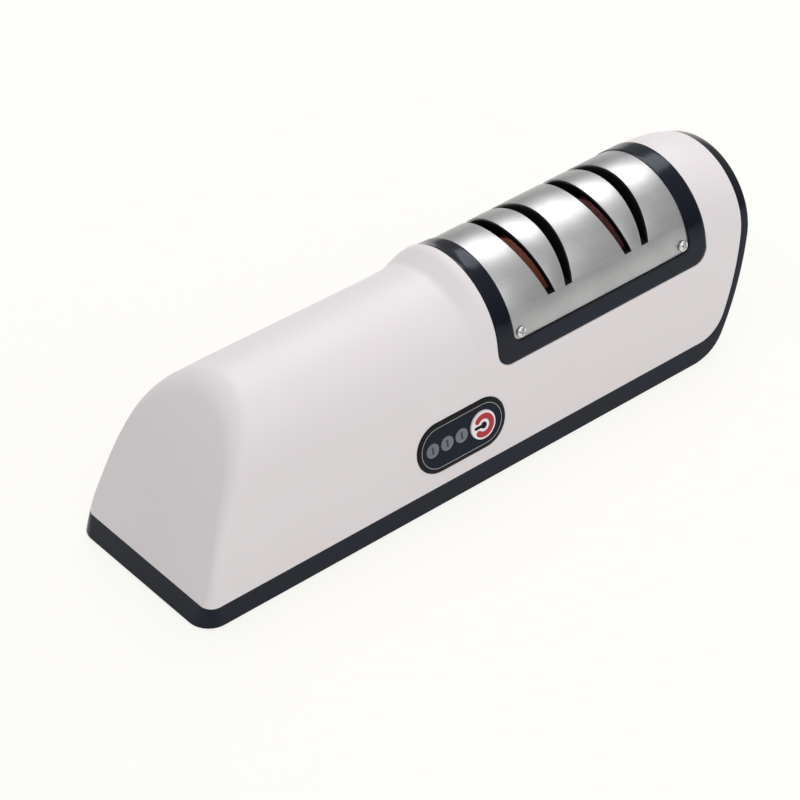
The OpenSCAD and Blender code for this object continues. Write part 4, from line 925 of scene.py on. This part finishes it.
def wheel(name, stage, material, replaces):
    """An abrasive wheel with two grooves in line with the slots."""
    e, depth, root_r, root_half_w = WHEEL_EDGE_R, WHEEL_R - GROOVE_R, GROOVE_R + 0.06, 0.05
    profile = [(HUB_R, RELIEF_T), (HUB_R + RELIEF_W, RELIEF_T), (HUB_R + RELIEF_W, 0), (WHEEL_R - e, 0),
               (WHEEL_R - 0.2, 0.25), (WHEEL_R, e)]
    for side in (-1, 1):
        root = WHEEL_W / 2 + side * SLOT_GAP / 2
        walls = [root + side * depth * math.tan(SLOT_TILT + s * GROOVE_HALF_ANGLE) for s in (-side, side)]
        profile += [(WHEEL_R, min(walls)), (root_r, root - root_half_w), (root_r, root + root_half_w),
                    (WHEEL_R, max(walls))]
    profile += [(WHEEL_R, WHEEL_W - e), (WHEEL_R - 0.2, WHEEL_W - 0.25), (WHEEL_R - e, WHEEL_W),
                (HUB_R, WHEEL_W)]
    obj = piece(name, turned_shaft(profile, stage - WHEEL_W / 2))
    finish_piece(tidy_mesh(obj), material, "drive", replaces=(replaces,))


wheel("fine_wheel_grit", STAGES[0], FINE, "fine_wheel")
wheel("coarse_wheel_grit", STAGES[1], COARSE, "coarse_wheel")

# ---- stage and light ---------------------------------------------------------------------

FLOOR_SIZE, PAPER_GLOW = 6.0, 0.85      # metres, and the share of glow that camera and mirror rays see
LIT_SPOT = Vector((0, 0, 0.03))         # where the softboxes point, in the row frame's metres

paper = bpy.data.materials.new("paper")
paper.use_nodes = True
tree = paper.node_tree
tree.nodes["Principled BSDF"].inputs["Base Color"].default_value = (0.9, 0.892, 0.87, 1)
tree.nodes["Principled BSDF"].inputs["Roughness"].default_value = 0.9
ray = node(tree, "ShaderNodeLightPath").outputs
either = node(tree, "ShaderNodeMath", {0: ray["Is Camera Ray"], 1: ray["Is Glossy Ray"]}, operation="ADD")
any_ray = node(tree, "ShaderNodeMath", {0: either.outputs[0], 1: ray["Is Transmission Ray"]}, operation="ADD")
share = node(tree, "ShaderNodeMath", {0: any_ray.outputs[0], 1: PAPER_GLOW}, operation="MULTIPLY",
             use_clamp=True)
glow = node(tree, "ShaderNodeEmission", {"Color": (1.0, 0.991, 0.956, 1), "Strength": 1.0})
both = node(tree, "ShaderNodeMixShader", {0: share.outputs[0], 2: glow.outputs[0]})
tree.links.new(tree.nodes["Principled BSDF"].outputs[0], both.inputs[1])
tree.links.new(both.outputs[0], tree.nodes["Material Output"].inputs["Surface"])
half = FLOOR_SIZE / 2
corners = [(-half, -half, 0), (half, -half, 0), (half, half, 0), (-half, half, 0)]
mesh = bpy.data.meshes.new("floor")
mesh.from_pydata(corners, [], [(0, 1, 2, 3)])
floor = new_object("floor", mesh)
floor.data.materials.append(paper)

world = bpy.data.worlds.new("studio")
bpy.context.scene.world = world
world.use_nodes = True
tree = world.node_tree
direction = node(tree, "ShaderNodeTexCoord").outputs["Generated"]
height = node(tree, "ShaderNodeSeparateXYZ", {0: direction}).outputs[2]
sky = mixed(tree, spread(tree, height, 0.0, 1.0), (0.33, 0.33, 0.33, 1), (0.86, 0.86, 0.86, 1))
tree.links.new(sky, tree.nodes["Background"].inputs["Color"])


def softbox(name, place, size, radiance):
    """A softbox that faces the object, by its brightness as seen from there; place and size in metres."""
    data = bpy.data.lights.new(name, "AREA")
    data.shape, data.size, data.size_y = "RECTANGLE", size[0], size[1]
    data.energy = math.pi * size[0] * size[1] * radiance
    obj = new_object(name, data)
    obj.location = place
    obj.rotation_euler = (LIT_SPOT - Vector(place)).to_track_quat("-Z", "Y").to_euler()


softbox("key_softbox", (0.5, 0.37, 0.82), (0.6, 0.55), 3.6)
softbox("front_softbox", (-0.1, -0.88, 0.74), (0.85, 0.8), 1.5)
bpy.context.scene.view_settings.view_transform = "Standard"
